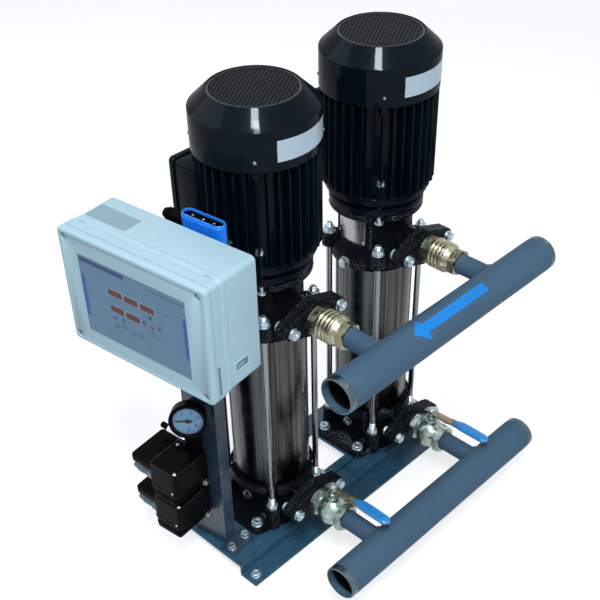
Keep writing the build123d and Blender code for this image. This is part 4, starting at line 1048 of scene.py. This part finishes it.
def lever_plate():
    """Cranked steel plate of a valve lever, bent along its path."""
    path = [(-13, PLATE_Z), (38, PLATE_Z), (46, PLATE_Z + 2.5), (62, PLATE_Z + 3.5), (122, PLATE_Z + 3.5)]
    path = rounded(path, 5, 4, closed=False)
    loops = []
    for i, (x, z) in enumerate(path):
        ahead = Vector(path[min(i + 1, len(path) - 1)]) - Vector(path[max(i - 1, 0)])
        across = Vector((-ahead.y, ahead.x)).normalized()
        w = PLATE_HALF * (1 if i else PLATE_TAPER)
        loops.append([(x + across.x * d, y, z + across.y * d) for y, d in
                      ((w, -1.2), (w, 1.2), (w - 0.6, 1.5), (0.6 - w, 1.5), (-w, 1.2), (-w, -1.2),
                       (0.6 - w, -1.5), (w - 0.6, -1.5))])
    return skin(loops)


def vinyl_sleeve(steps=32, around=24):
    """Dipped sleeve with soft edges that swells a little in its middle."""
    loops = []
    for t in (k / steps for k in range(steps + 1)):
        swell = min(1.0, (4 * t) ** 0.45, (8 * (1 - t) + 0.02) ** 0.5)
        half = (9.4 + 0.7 * sin(pi * t)) * swell
        rise = (4.3 + 0.5 * sin(pi * t)) * max(0.35, swell)
        loops.append([(GRIP_START + GRIP_LENGTH * t, half * copysign(abs(x) ** 0.7, x),
                       GRIP_Z + rise * copysign(abs(y) ** 0.75, y))
                      for x, y in circle(1, around)])
    return skin(loops)


def lever(side):
    """Lever: steel plate with a crank, azure vinyl sleeve, stem nut, and the ball it turns."""
    piece = Piece()
    stem = at_pump(side, VALVE_X + VALVE_MIDDLE, 0, SUCTION_Z)
    piece.add(lathe(arc(BALL_R, -45, 45, 10) + [(14, 14.2), (14, -14.2)], 48), "steel", stem @ lay("x"))
    piece.add(rod(4.9, 17, 58, 28), "zinc", stem)
    stud_end(piece, 4.9, 5.5, "zinc", stem @ up(54.0))
    piece.add(nut(13, 5, 4.6, True), "zinc", stem @ up(53.2))
    piece.add(lever_plate(), "lever_steel", stem)
    piece.add(vinyl_sleeve(), "vinyl", stem)
    piece.made("lever_" + side + "_dressed", "lever_blue", "valve_lever_" + side, body="lever_" + side,
               sharp=50)


CHECK_END = 15.0
CHECK_TAPER = 11.0
CHECK_RIBS = 4
CHECK_ROOT_R = 23.6
CHECK_RIB_R = 25.6


def check_valve(side):
    """Brass check valve: hexagon at the pump, ribbed barrel, and a tapered hexagon at the pipe."""
    piece = Piece()
    place = at_pump(side, VALVE_X, 0, DISCHARGE_Z) @ lay("x")
    narrow = 0.88 * VALVE_HEX
    seat = VALVE_LENGTH - CHECK_END
    taper = seat - CHECK_TAPER
    piece.add(nut(VALVE_HEX, CHECK_END, 12, True), "brass", place)
    piece.add(nut(narrow, CHECK_END, 17.3, True), "brass", place @ up(seat))
    barrel = [(17.2, CHECK_END - 2)]
    step = (taper - CHECK_END) / CHECK_RIBS
    for z in (CHECK_END + k * step for k in range(CHECK_RIBS)):
        barrel += [(CHECK_ROOT_R, z + 0.3), (CHECK_ROOT_R, z + 1.6), (CHECK_RIB_R, z + 3.0),
                   (CHECK_RIB_R, z + step - 1.8), (CHECK_ROOT_R, z + step - 0.4)]
    barrel += [(CHECK_RIB_R, taper + 1), (CHECK_RIB_R - 0.6, taper + 3), (narrow / 2, seat + 0.5),
               (17.2, seat + 2)]
    piece.add(lathe(rounded(barrel, 1.0)), "brass", place)
    piece.made("check_body_" + side, "brass", "check_valve_" + side)


PIPE_R = 30.0
PIPE_WALL = 3.2
BRANCH_R = 16.85
BARE_END = 12.0
BARE_DEPTH = 0.3
SEAM_INSET = 0.65
SEAM_R = 0.7
WELD_R = 2.3
SUCTION_SEAM = 120.0


def manifold(name, seam=None):
    """Manifold: enamelled pipe with bare turned ends, weld beads and one branch to each pump.

    Gives back the place of its axis.
    """
    low, high = node_box(name)
    z = (low.z + high.z) / 2
    x = high.x - (high.z - low.z) / 2
    length = high.y - low.y
    r, bore = PIPE_R, PIPE_R - PIPE_WALL
    piece = Piece()
    place = at(x, low.y, z) @ lay("y")
    piece.add(lathe(band(r - 0.6, r, BARE_END, length - BARE_END), 128), "pipe", place)
    end_r = r - BARE_DEPTH
    for a, s in ((0, 1), (length, -1)):
        inner = a + s * BARE_END
        ring = [(bore, a), (end_r - 1, a), (end_r, a + s * 1.2), (end_r, inner), (bore, inner)]
        piece.add(lathe(ring, 128), "bare_end", place)
        groove = [(end_r + 0.02 - 0.25 * (k % 2), a + s * (2 + 0.45 * k)) for k in range(12)]
        piece.add(lathe([(r - 1, a + s * 2), *groove, (r - 1, a + s * 7)], 128), "bare_end", place)
    piece.add(lathe(band(bore - 0.05, bore + 0.6, 1, length - 1)), "pipe_inside", place)
    if seam is not None:
        path = [(px, py, seam) for px, py in circle(r - SEAM_INSET, 96)]
        piece.add(tube(path, SEAM_R, 8), "pipe", place)
    start = VALVE_X + VALVE_LENGTH
    spots = [at(0, PUMP_Y[side], z) for side in SIDES]
    runs = [spot @ lay("x") for spot in spots]
    piece.add(lathe(band(BRANCH_R - 2.6, BRANCH_R, start, x - 12), 64), "pipe", *runs)
    ring = [(BRANCH_R - 1, start + 0.2), (BRANCH_R + 0.9, start + 0.2), (BRANCH_R + 0.5, start + 3),
            (BRANCH_R - 1, start + 3)]
    piece.add(lathe(rounded(ring, 0.4, 2), 64), "pipe", *runs)
    path = []
    for k, (y, rise) in enumerate(circle(BRANCH_R + 0.6, 64)):
        wave = 0.35 * sin(pi * k / 2)
        path.append((x - sqrt(r * r - rise * rise) - 0.4 + wave, y, rise))
    piece.add(tube(path, WELD_R, 10), "pipe", *spots)
    piece.made(name + "_dressed", "pipe_paint", name)
    return x, z


# Flow arrow: its tip and its end along Y, and its middle line in degrees round the pipe
ARROW_TIP = -72.0
ARROW_END = 100.0
ARROW_MIDDLE = 66.0
ARROW_HALF = 8.5
HEAD_LENGTH = 26.0
HEAD_HALF = 21.0


def flow_arrow(x, z, count=12):
    """Plain azure arrow on the discharge pipe, bent to its round side."""
    r = PIPE_R + 0.12
    rows = [(ARROW_TIP + HEAD_LENGTH * k / count, HEAD_HALF * k / count) for k in range(count + 1)]
    rows += [(ARROW_TIP + HEAD_LENGTH + 0.01, ARROW_HALF), (ARROW_END, ARROW_HALF)]
    points, faces = [], []
    for y, half in rows:
        lean = degrees(half / r)
        bent = arc(r, ARROW_MIDDLE - lean, ARROW_MIDDLE + lean, count, x, z)
        points += [(px, y, pz) for px, pz in bent]
    for i in range(len(rows) - 1):
        for base in range(i * (count + 1), i * (count + 1) + count):
            faces.append([base, base + 1, base + count + 2, base + count + 1])
    piece = Piece()
    piece.add((points, faces), "azure")
    piece.made("flow_arrow", "pipe_paint")


for side in SIDES:
    for make in (cowl, motor_frame, terminal_box, sleeve, guards, ball_valve, lever, check_valve):
        make(side)
for make in (rods, port_flanges, port_bolts, bolts, plugs):
    make()
manifold("suction_manifold", SUCTION_SEAM)
flow_arrow(*manifold("discharge_manifold"))


# Control box

PANEL_MIDDLE = 552.5
PANEL_DEPTH = 108.0
PANEL_BODY = (275.0, 193.0)
PANEL_LID = (279.0, 197.0)
PANEL_CORNER = 9.0
LID_DEPTH = 30.0
SEAM = -LID_DEPTH
PLATE = (204.0, 134.0)
LID_SCREWS = corners(126.5, 85.5)
WELL_R = 5.6
WELL_DEPTH = 4.5
FRONT = COLUMN @ at(0, -PANEL_DEPTH, PANEL_MIDDLE) @ lay("y", -1)


def sunk(thing, cutter):
    """Cuts the shape of a helper piece out of a thing, and takes the helper away."""
    cut = thing.modifiers.new("sunk", "BOOLEAN")
    cut.operation = "DIFFERENCE"
    cut.solver = "EXACT"
    cut.object = cutter
    view = bpy.context.evaluated_depsgraph_get()
    mesh = bpy.data.meshes.new_from_object(thing.evaluated_get(view))
    thing.modifiers.clear()
    thing.data = mesh
    bpy.data.objects.remove(cutter)


def panel_lid():
    """Moulded lid with its groove, the recess for the front plate and a well for each screw."""
    piece = Piece()
    edge = [(-3, SEAM - 0.4), (-1.1, SEAM - 0.2), (-0.2, SEAM + 0.5), (0, SEAM + 1.6), (0, -13.4),
            (-0.9, -13), (-0.9, -11.6), (0, -11.2), *quarter(4.5, 0.0)]
    recess = profiled(box_outline(*PLATE, 1.2, 6), [(0, 0.0), (0, -1.0)])
    piece.add(skin(profiled(box_outline(*PANEL_LID, PANEL_CORNER, 6), edge) + recess), "panel", FRONT)
    shell = piece.made("panel_lid_shell", "panel_plastic", "panel_lid")
    wells = Piece()
    well = [(CORE, -WELL_DEPTH), (WELL_R, -WELL_DEPTH), (WELL_R, -0.6), (WELL_R + 1.2, 0.6), (CORE, 0.6)]
    wells.add(lathe(well, 40), "panel", *[FRONT @ at(x, z) for x, z in LID_SCREWS])
    sunk(shell, wells.object("screw_wells"))


def panel_body():
    """Moulded body with the groove, the latches, and a dark band of painted shade in the joint under the
    lid.
    """
    piece = Piece()
    body = box_outline(*PANEL_BODY, PANEL_CORNER, 6)
    wall = [(-2.5, -PANEL_DEPTH), (-0.7, 0.6 - PANEL_DEPTH), (0, 2.4 - PANEL_DEPTH), (0, SEAM - 14),
            (-0.7, SEAM - 13.6), (-0.7, SEAM - 12.6), (1.0, SEAM - 12), (1.3, SEAM - 11.2), (1.3, SEAM - 2),
            (0.7, SEAM - 1), (-1.4, SEAM - 0.7), (-1.4, SEAM + 0.2)]
    piece.add(walled(body, wall), "panel", FRONT)
    inside = box_outline(PANEL_LID[0] - 1.6, PANEL_LID[1] - 1.6, PANEL_CORNER, 6)
    # The groove floor is darker: painted shade in the groove.
    groove = [(0, -13.2), (0.12, -12.9), (0.12, -11.7), (0, -11.4)]
    piece.add(walled(inside, groove, True), "painted_groove_shade", FRONT)
    shadow = [(-1.2, SEAM - 0.9), (-1.0, SEAM - 0.7), (-1.0, SEAM), (-1.2, SEAM + 0.2)]
    piece.add(walled(body, shadow), "panel_shade", FRONT)
    latches = [COLUMN @ at(x, LID_DEPTH - PANEL_DEPTH, PANEL_MIDDLE + PANEL_LID[1] / 2 - 0.5)
               for x in (-118.0, 119.0)]
    piece.add(bar(box_outline(10, 7, 1.2), 0, 1.4, 0.4), "panel", *latches)
    # The latch's slot is a dark pad of painted shade.
    piece.add(bar(box_outline(6, 2, 0.5), 0.5, 1.46, 0.1, 1), "panel_shade", *latches)
    piece.made("panel_body_shell", "panel_plastic", "panel_body")


def lid_screws():
    """Nickel plated screws with a slot, deep in the wells of the lid's corners."""
    piece = Piece()
    halves = [bar(arc(4.4, first, first + 160, 10), -0.3, 0.75, 0.25) for first in (10, 190)]
    for k, (x, z) in enumerate(LID_SCREWS):
        spot = FRONT @ at(x, z, 0.4 - WELL_DEPTH) @ about_z(35 + 50 * k)
        for shape in (*halves, rod(4.3, -0.3, 0.15, 28)):
            piece.add(shape, "nickel", spot)
    piece.made("panel_screw_heads", "nickel", "panel_screws")


PRINT_BOTTOM = -0.3
FIGURE = (4.2, 6.6)
FIGURE_PITCH = 7.4
STROKE = 0.55
DISPLAYS = [(-34.0, 24.0), (-3.0, 24.0), (28.0, 24.0), (-34.0, -4.0), (-3.0, -4.0)]
DISPLAY_SIZE = (26.0, 9.6)
DISPLAY_RIM = (28.4, 12.0)
KEYS = [(-40.0, -34.0), (-23.0, -30.0), (-6.0, -33.0), (8.0, -30.0), (35.0, -17.0)]
SMALL_LAMPS = [(-41.0, -20.0, "led_blue"), (19.0, -3.0, "led_off"), (34.0, -5.0, "led_red"),
               (48.0, -1.0, "led_green"), (32.0, 11.0, "led_off"), (-24.0, -17.0, "led_green")]
# Printed fields: look, middle, size and height of the top
FIELDS = [("print_navy", -56, 60, 88, 7.4, -0.07), ("print_grey", 64, 58.4, 69, 2.4, -0.07),
          ("print_blue", -97.4, -2, 7.0, 72, -0.07), ("print_blue", 98.4, 2.5, 6.4, 71, -0.07),
          ("print_grey", 58, 28, 26, 1.6, -0.07), ("print_pale", -3, 24, 94, 14.5, -0.12),
          ("print_pale", -18.5, -4, 62, 14, -0.12)]


def patch(piece, look, x, z, width, height, top, corner=0.4):
    """Printed or moulded rectangle on the front plate."""
    edge = min(0.1, (top - PRINT_BOTTOM) / 3)
    shape = bar(box_outline(width, height, corner, 2), PRINT_BOTTOM, top, edge, 1)
    piece.add(shape, look, FRONT @ at(x, z))


def figure_bars(piece, place):
    """The seven unlit bars of one figure."""
    width, height = FIGURE
    level = [(0, y, width, 0) for y in (height / 2, 0, -height / 2)]
    upright = [(x, y, height / 2, 90) for x in (-width / 2, width / 2) for y in (height / 4, -height / 4)]
    for x, y, length, turn in level + upright:
        a, t = length / 2 - 0.25, STROKE
        strip = [(a, 0), (a - t, t), (t - a, t), (-a, 0), (t - a, -t), (a - t, -t)]
        piece.add(bar(strip, 0.3, 0.42, 0.03, 1), "segment", place @ at(x, y) @ about_z(turn))


def domed_spot(piece, place, rim, rim_soft, dome, look, turns):
    """Round key or lamp: a rim and a low dome in it."""
    piece.add(lathe(rounded(rim, rim_soft, 2), turns[0]), "print_grey", place)
    piece.add(lathe(rounded(dome, 0.3), turns[1]), look, place)


def front_plate():
    """Front film with its bars, five displays, keys and small lamps, and no lettering."""
    piece = Piece()
    piece.add(bar(box_outline(PLATE[0] - 0.8, PLATE[1] - 0.8), -0.98, -0.2, 0.15, 1), "print", FRONT)
    for field in FIELDS:
        patch(piece, *field)
    for x, z in DISPLAYS:
        patch(piece, "display_rim", x, z, *DISPLAY_RIM, 0.0, 0.8)
        patch(piece, "display", x, z, *DISPLAY_SIZE, 0.35, 0.5)
        for k in (-1, 0, 1):
            figure_bars(piece, FRONT @ at(x + FIGURE_PITCH * k, z))
    rim = [(3.6, -0.3), (4.8, -0.3), (4.6, 0.15), (3.8, 0.15)]
    dome = [(CORE, -0.3), (3.5, -0.3), (3.4, 0.25), (2.4, 0.5), (CORE, 0.62)]
    for x, z in KEYS:
        domed_spot(piece, FRONT @ at(x, z), rim, 0.15, dome, "key", (36, 36))
    rim = [(2.5, -0.3), (3.4, -0.3), (3.3, 0.1), (2.6, 0.1)]
    dome = [(CORE, -0.3), (2.5, -0.3), (2.4, 0.2), (1.6, 0.6), (CORE, 0.8)]
    for x, z, look in SMALL_LAMPS:
        domed_spot(piece, FRONT @ at(x, z), rim, 0.1, dome, look, (28, 24))
    piece.made("front_film", "panel_print", "panel_face")


def panel_side():
    """On the box's right side: a framed service socket and the slot of the lid's catch."""
    piece = Piece()
    socket = COLUMN @ at(PANEL_BODY[0] / 2, -41.5, PANEL_MIDDLE - 61.5) @ lay("x")
    frame_edge = [(0, -0.4), (0, 0.5), (-0.5, 0.9), (-1.5, 0.9), (-1.9, 0.1)]
    piece.add(walled(box_outline(18, 32, 2, 3), frame_edge), "panel", socket)
    catch = COLUMN @ at(PANEL_LID[0] / 2, -91.0, PANEL_MIDDLE - 62) @ lay("x")
    sticker = COLUMN @ at(-90, -42.5, PANEL_MIDDLE + PANEL_BODY[1] / 2)
    ribs = [socket @ at(0, y) for y in (-8.0, -3.0, 2.0)]
    rails = [catch @ at(0, y) for y in (-3.9, 3.9)]
    # The socket's top slot and the catch's slot are dark pads of painted shade.
    for outline, heights, look, places in (
            ((12, 25, 1, 3), (0.0, 0.35, 0.1, 1), "key", [socket]),
            ((13, 3.4, 0.5, 2), (0.0, 0.62, 0.1, 1), "panel_shade", [socket @ at(0, 10.6)]),
            ((7, 1.8, 0.4, 2), (0.1, 0.7, 0.15, 1), "panel", ribs),
            ((52, 5.0, 0.8, 3), (-0.5, 0.08, 0.05, 1), "panel_shade", [catch]),
            ((54, 1.8, 0.8, 3), (-0.5, 0.5, 0.4, 2), "panel", rails),
            ((80, 35, 1.5, 3), (-0.2, 0.22, 0.1, 1), "sticker", [sticker])):
        piece.add(bar(box_outline(*outline), *heights), look, *places)
    piece.made("panel_fittings", "panel_plastic")


# Switches, gauge and inlet

SWITCH_BOTTOMS = {"pressure_switch_lower": 69.0, "pressure_switch_upper": 145.0}
SWITCH_RIGHT = 10.0
SWITCH_DEPTH = 82.0
SWITCH_HEIGHT = 71.0
COVER_BOTTOM = 21.3
COVER_SPLIT = -51.0
BODY_LEFT = -53.0
WING_LEFT = -92.0
WING_RIGHT = -41.0
WING_THICKNESS = 14.0


def pressure_switch(name, bottom):
    """Pressure switch: ribbed base, cover with its crown and a wing over the gland, screws and port."""
    piece = Piece()
    place = COLUMN @ up(bottom)
    top = SWITCH_HEIGHT
    shoulder = top - 4.0

    def between(left, right):
        return place @ at((left + right) / 2, -SWITCH_DEPTH / 2)

    width = SWITCH_RIGHT - BODY_LEFT
    base = between(BODY_LEFT, SWITCH_RIGHT)
    foot = [(-2.5, 0), (-0.7, 0.6), (0, 2.2), (0, 9), (0.8, 9.6), (0.8, 12), (0, 12.6),
            (0, COVER_BOTTOM + 0.5)]
    piece.add(walled(box_outline(width - 8, SWITCH_DEPTH - 1, 7, 5), foot), "black", base)
    walls = [(-3, COVER_BOTTOM + 0.4), (-0.3, COVER_BOTTOM), (0, COVER_BOTTOM + 0.7), (0, COVER_BOTTOM + 4),
             (-0.7, COVER_BOTTOM + 4.6), (-0.9, shoulder - 3), (-4, shoulder - 1)]
    cover = box_outline(width - 0.4, SWITCH_DEPTH - 0.4, 9, 6)
    piece.add(walled(cover, walls), "gloss_plastic", base)
    wing = box_outline(WING_RIGHT - WING_LEFT, SWITCH_DEPTH - 2.4, 9, 6)
    under = top - 0.8 - WING_THICKNESS
    wing_edge = [(-1.5, under), (0, under + 1.2), *quarter(3.5, top - 0.8)]
    piece.add(walled(wing, wing_edge), "gloss_plastic", between(WING_LEFT, WING_RIGHT))
    crown = box_outline(SWITCH_RIGHT - COVER_SPLIT - 1.6, SWITCH_DEPTH - 2.0, 8, 6)
    crown_place = between(COVER_SPLIT, SWITCH_RIGHT)
    crown_walls = [(0, shoulder - 6), (0, top - 2.2), *quarter(2.0, top), (-5, top), (-5.4, top - 0.5)]
    piece.add(walled(crown, crown_walls), "gloss_plastic", crown_place)
    # A thin paler ring round the crown's top edge is a painted highlight.
    painted_highlight_ring = [(-0.9, top - 0.75), (-0.45, top - 0.22), (-0.9, top - 0.04), (-1.5, top + 0.02)]
    piece.add(walled(crown, painted_highlight_ring, True), "painted_edge_highlight", crown_place)
    screws = [crown_place @ at(x, y, top - 0.6) for x, y in ((-20, 22), (24, -34))]
    button_screw(piece, 3.2, "zinc", *screws)
    corner = base @ at(width / 2 - 9.5, -SWITCH_DEPTH / 2 + 0.3, COVER_BOTTOM + 9) @ lay("y", -1)
    button_screw(piece, 2.2, "zinc", corner)
    gland_place = place @ at(BODY_LEFT + 1.4, -SWITCH_DEPTH + 18, 31) @ lay("x", -1)
    gland(piece, 9.5, 47, "gland_grey", gland_place)
    port = place @ at(-18, 0, top / 4) @ lay("y")
    piece.add(nut(19, 6, 5.5, True), "nickel", port @ up(3))
    stud_end(piece, 6, 17, "nickel", port)
    cap = place @ at(SWITCH_RIGHT - 5.4, -12, 5.5) @ lay("x")
    piece.add(nut(11, 4, 0, True), "nickel", cap)
    dome = rounded([(CORE, 4), (4.4, 4), (4.2, 8), (CORE, 8.4)], 0.8)
    piece.add(lathe(dome, 32), "nickel", cap)
    piece.made(name + "_dressed", "black_plastic", name)


def worded(text, size):
    """Plain figures as a flat shape about the origin."""
    curve = bpy.data.curves.new("figures", "FONT")
    curve.body = text
    curve.size = size
    curve.offset = 0.03 * size
    curve.align_x = "CENTER"
    curve.align_y = "CENTER"
    carrier = bpy.data.objects.new("figures", curve)
    mesh = bpy.data.meshes.new_from_object(carrier)
    points = [tuple(v.co) for v in mesh.vertices]
    faces = [list(p.vertices) for p in mesh.polygons]
    bpy.data.objects.remove(carrier)
    bpy.data.curves.remove(curve)
    bpy.data.meshes.remove(mesh)
    return points, faces


GAUGE_BACK = -24.0
DIAL_DEPTH = -5.5
DIAL_R = 24.6
FIGURE_R = 15.0
SCALE_SWEEP = 270.0
SCALE_ZERO = 180.0
GAUGE_PLACE = (-12, -10, 303)
GAUGE_TURN = 38
GAUGE_TILT = 80
GAUGE_ARM = 40
GAUGE_FOOT = COLUMN @ at(*GAUGE_PLACE) @ about_z(GAUGE_TURN)
DIAL = GAUGE_FOOT @ Matrix.Rotation(radians(GAUGE_TILT), 4, "X") @ up(GAUGE_ARM)


def gauge():
    """Gauge: case with its bezel and back, dial with its scale and figures, and the needle."""
    case = Piece()
    back, dial = GAUGE_BACK, DIAL_DEPTH
    shell = [(5, back), (26, back), (29.6, back + 3), (29.6, -6.5), (31, -5.5), (31, -1.2), (29.8, 0),
             (26.2, 0), (24.4, -1.6), (24.4, dial - 1.2), (27, dial - 2), (27, back + 4), (5, back + 4)]
    case.add(lathe(rounded(shell, 0.8)), "gloss_plastic", DIAL)
    case.add(rod(5.2, back, back + 4, 32), "black", DIAL)
    case.add(rod(DIAL_R, dial - 1, dial, 72), "dial", DIAL)
    for k in range(51):
        width = 0.5 if k % 10 else 1.1
        length = 2.2 if k % 5 else 3.4 if k % 10 else 4.6
        spot = about_z(SCALE_ZERO - SCALE_SWEEP * k / 50) @ at(DIAL_R - 2.4 - length / 2, 0, dial)
        case.add(bar(box_outline(length, width, 0.05, 1), -0.1, 0.06, 0.02, 1), "ink", DIAL @ spot)
    for k, (x, y) in enumerate(arc(FIGURE_R, SCALE_ZERO, SCALE_ZERO - SCALE_SWEEP, 5)):
        case.add(worded(str(2 * k), 6.2), "ink", DIAL @ at(x, y, dial + 0.08))
    stem = DIAL @ up(back) @ UPSIDE_DOWN
    case.add(nut(16, 7, 4.5, True), "nickel", stem)
    case.add(rod(6, 0, 13, 28), "nickel", stem)
    case.made("gauge_body", "black_plastic", "gauge_case")
    hand = Piece()
    half = [(-20.5, 0.4), (0, 1.7), (7, 2.1)]
    blade = [(x, -y) for x, y in half] + half[::-1]
    hand.add(bar(blade, dial + 2.6, dial + 3.1, 0.1, 1), "ink", DIAL)
    hub = [(CORE, dial - 6), (1.5, dial - 6), (1.5, dial + 2), (3, dial + 2), (3, dial + 3.6),
           (2.4, dial + 4.2), (CORE, dial + 4.2)]
    hand.add(lathe(hub, 32), "ink", DIAL)
    hand.made("gauge_hand", "needle", "gauge_needle", body="needle")


SENSOR_PLACE = (-22, -10, 230)
SENSOR_LEAN = 4


def sensor():
    """Stainless pressure sensor along -X from the bar, with its plug socket."""
    piece = Piece()
    place = COLUMN @ at(*SENSOR_PLACE) @ Matrix.Rotation(radians(SENSOR_LEAN - 90), 4, "Y")
    piece.add(nut(17, 9, 0, True), "bright", place @ up(1))
    barrel = [(CORE, 10), (8.2, 10), (8.2, 14), (7.2, 15), (7.2, 17), (8.5, 18), (8.5, 42), (7.6, 44),
              (CORE, 44)]
    piece.add(lathe(rounded(barrel, 0.5, 2), 64), "bright", place)
    socket = [(CORE, 43), (6.4, 43), (6.4, 46), (5.4, 46.6), (5.4, 58), (4.8, 60), (3.6, 60), (3.6, 52),
              (CORE, 52)]
    piece.add(lathe(rounded(socket, 0.3, 2), 48), "black", place)
    piece.made("sensor_dressed", "zinc", "pressure_sensor")


INLET_PLACE = (26.0, 21.0, 628.0)
INLET_LENGTH = 78.0
INLET_WIDTH = 22.0
INLET_HEIGHT = 32.0


def supply_inlet():
    """Blue inlet: shell with a rolled lip, ribs, black insert with three pins, and the gland."""
    piece = Piece()
    place = COLUMN @ at(*INLET_PLACE)
    outline = stadium(INLET_LENGTH, INLET_WIDTH)
    top = INLET_HEIGHT
    shell = [(-0.8, 0), (0, 0.8), (0, top - 4.6), (-0.7, top - 4), (-0.7, top - 1.4), (-1.4, top - 0.3),
             (-2.0, top), (-2.6, top - 0.3), (-3.0, top - 1.4), (-3.0, 4)]
    piece.add(walled(outline, shell), "inlet", place)
    insert = [(-2.9, 3.5), (-2.9, top - 4.4), (-3.4, top - 3.6), (-5.5, top - 3.6), (-5.9, top - 5)]
    piece.add(walled(outline, insert), "black", place)
    pin = rounded([(CORE, 16), (2.0, 16), (2.0, 28.4), (1.4, 29.2), (CORE, 29.2)], 0.4, 2)
    piece.add(lathe(pin, 24), "brass", *[place @ at(x) for x in (-20.0, 0.0, 20.0)])
    ribs = [place @ at(13.0 * k, s * (INLET_WIDTH / 2 + 0.1)) for k in range(-2, 3) for s in (1, -1)]
    piece.add(bar(box_outline(1.6, 0.8, 0.3, 2), 3, top - 6, 0.3), "inlet", *ribs)
    side_place = place @ at(3 - INLET_LENGTH / 2, 0, 14) @ lay("x", -1)
    piece.add(rod(10.6, 0, 14, 40), "black", side_place)
    gland(piece, 10.2, 26, "black", side_place @ up(13))
    piece.made("inlet_dressed", "inlet_blue", "supply_inlet")


def anchor_bolt():
    """Anchor bolt with its washer in the front right corner hole of the base."""
    piece = Piece()
    hex_bolt(piece, 15, 5.5, ANCHOR_BOLT)
    piece.add(rod(4.8, -3.9, 1), "zinc", ANCHOR_BOLT)
    piece.made("anchor_bolt", "zinc")


for make in (panel_lid, panel_body, lid_screws, front_plate, panel_side):
    make()
for name, bottom in SWITCH_BOTTOMS.items():
    pressure_switch(name, bottom)
for make in (gauge, sensor, supply_inlet, anchor_bolt):
    make()


# CAD nodes that keep their shape

NODE_LOOK = {
    "pump_foot": "cast", "pump_head": "cast", "motor_flange": "gloss", "chambers": "steel",
    "impeller_shaft": "steel", "coupling": "steel", "stator": "winding", "rotor": "steel", "fan": "black",
    "check_poppet": "steel", "motor_bearings": "steel", "shaft_seals": "steel", "base_pan": "sheet",
    "post": "post", "pressure_bar": "black",
}
SLOT_LOOK = {
    "cast_black": "cast", "motor_black": "gloss", "stainless": "guard", "zinc": "zinc",
    "inner_steel": "steel", "winding": "winding", "black_plastic": "black", "nickel": "nickel",
    "brass": "brass", "lever_blue": "vinyl", "base_paint": "sheet", "pipe_paint": "pipe",
    "panel_plastic": "panel", "panel_print": "print", "clear": "clear", "needle": "ink",
    "inlet_blue": "inlet",
}
SLOT_OF = {entry["node"]: entry["material_slot"] for entry in frame["record"]["subparts"]}
for name, thing in nodes.items():
    plain_name = name.removesuffix("_front").removesuffix("_rear")
    look = NODE_LOOK.get(plain_name, SLOT_LOOK[SLOT_OF[name]])
    for slot in thing.material_slots:
        slot.material = LOOK[look]


def soften(thing, width):
    """Rounds the sharp edges of a piece with modifiers, and leaves its own mesh as it is."""
    weld = thing.modifiers.new("weld", "WELD")
    weld.merge_threshold = 0.00002
    bevel = thing.modifiers.new("bevel", "BEVEL")
    bevel.width = width * MM
    bevel.segments = 2
    bevel.limit_method = "ANGLE"
    bevel.angle_limit = radians(38)
    bevel.harden_normals = True


for side in SIDES:
    for node, width in (("pump_foot_", 1.2), ("pump_head_", 1.2), ("motor_flange_", 1.0)):
        soften(nodes[node + side], width)
soften(nodes["base_pan"], 0.9)
soften(nodes["pressure_bar"], 0.8)

POST_DEPTH = 19.0
POST_MORE = 6.0
SHELF_Z = 626.0


def deep_post():
    """Post whose side flanges reach further back than the CAD channel's, as they do in the photo."""
    mesh = nodes["post"].data.copy()
    for vertex in mesh.vertices:
        spot = COLUMN.inverted() @ (vertex.co / MM)
        if abs(spot.y - POST_DEPTH) < 0.4 and spot.z < SHELF_Z:
            vertex.co = COLUMN @ (spot + Vector((0, POST_MORE, 0))) * MM
    thing = placed("post_dressed", mesh)
    soften(thing, 0.7)
    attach(thing, "frame")
    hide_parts("post")


deep_post()
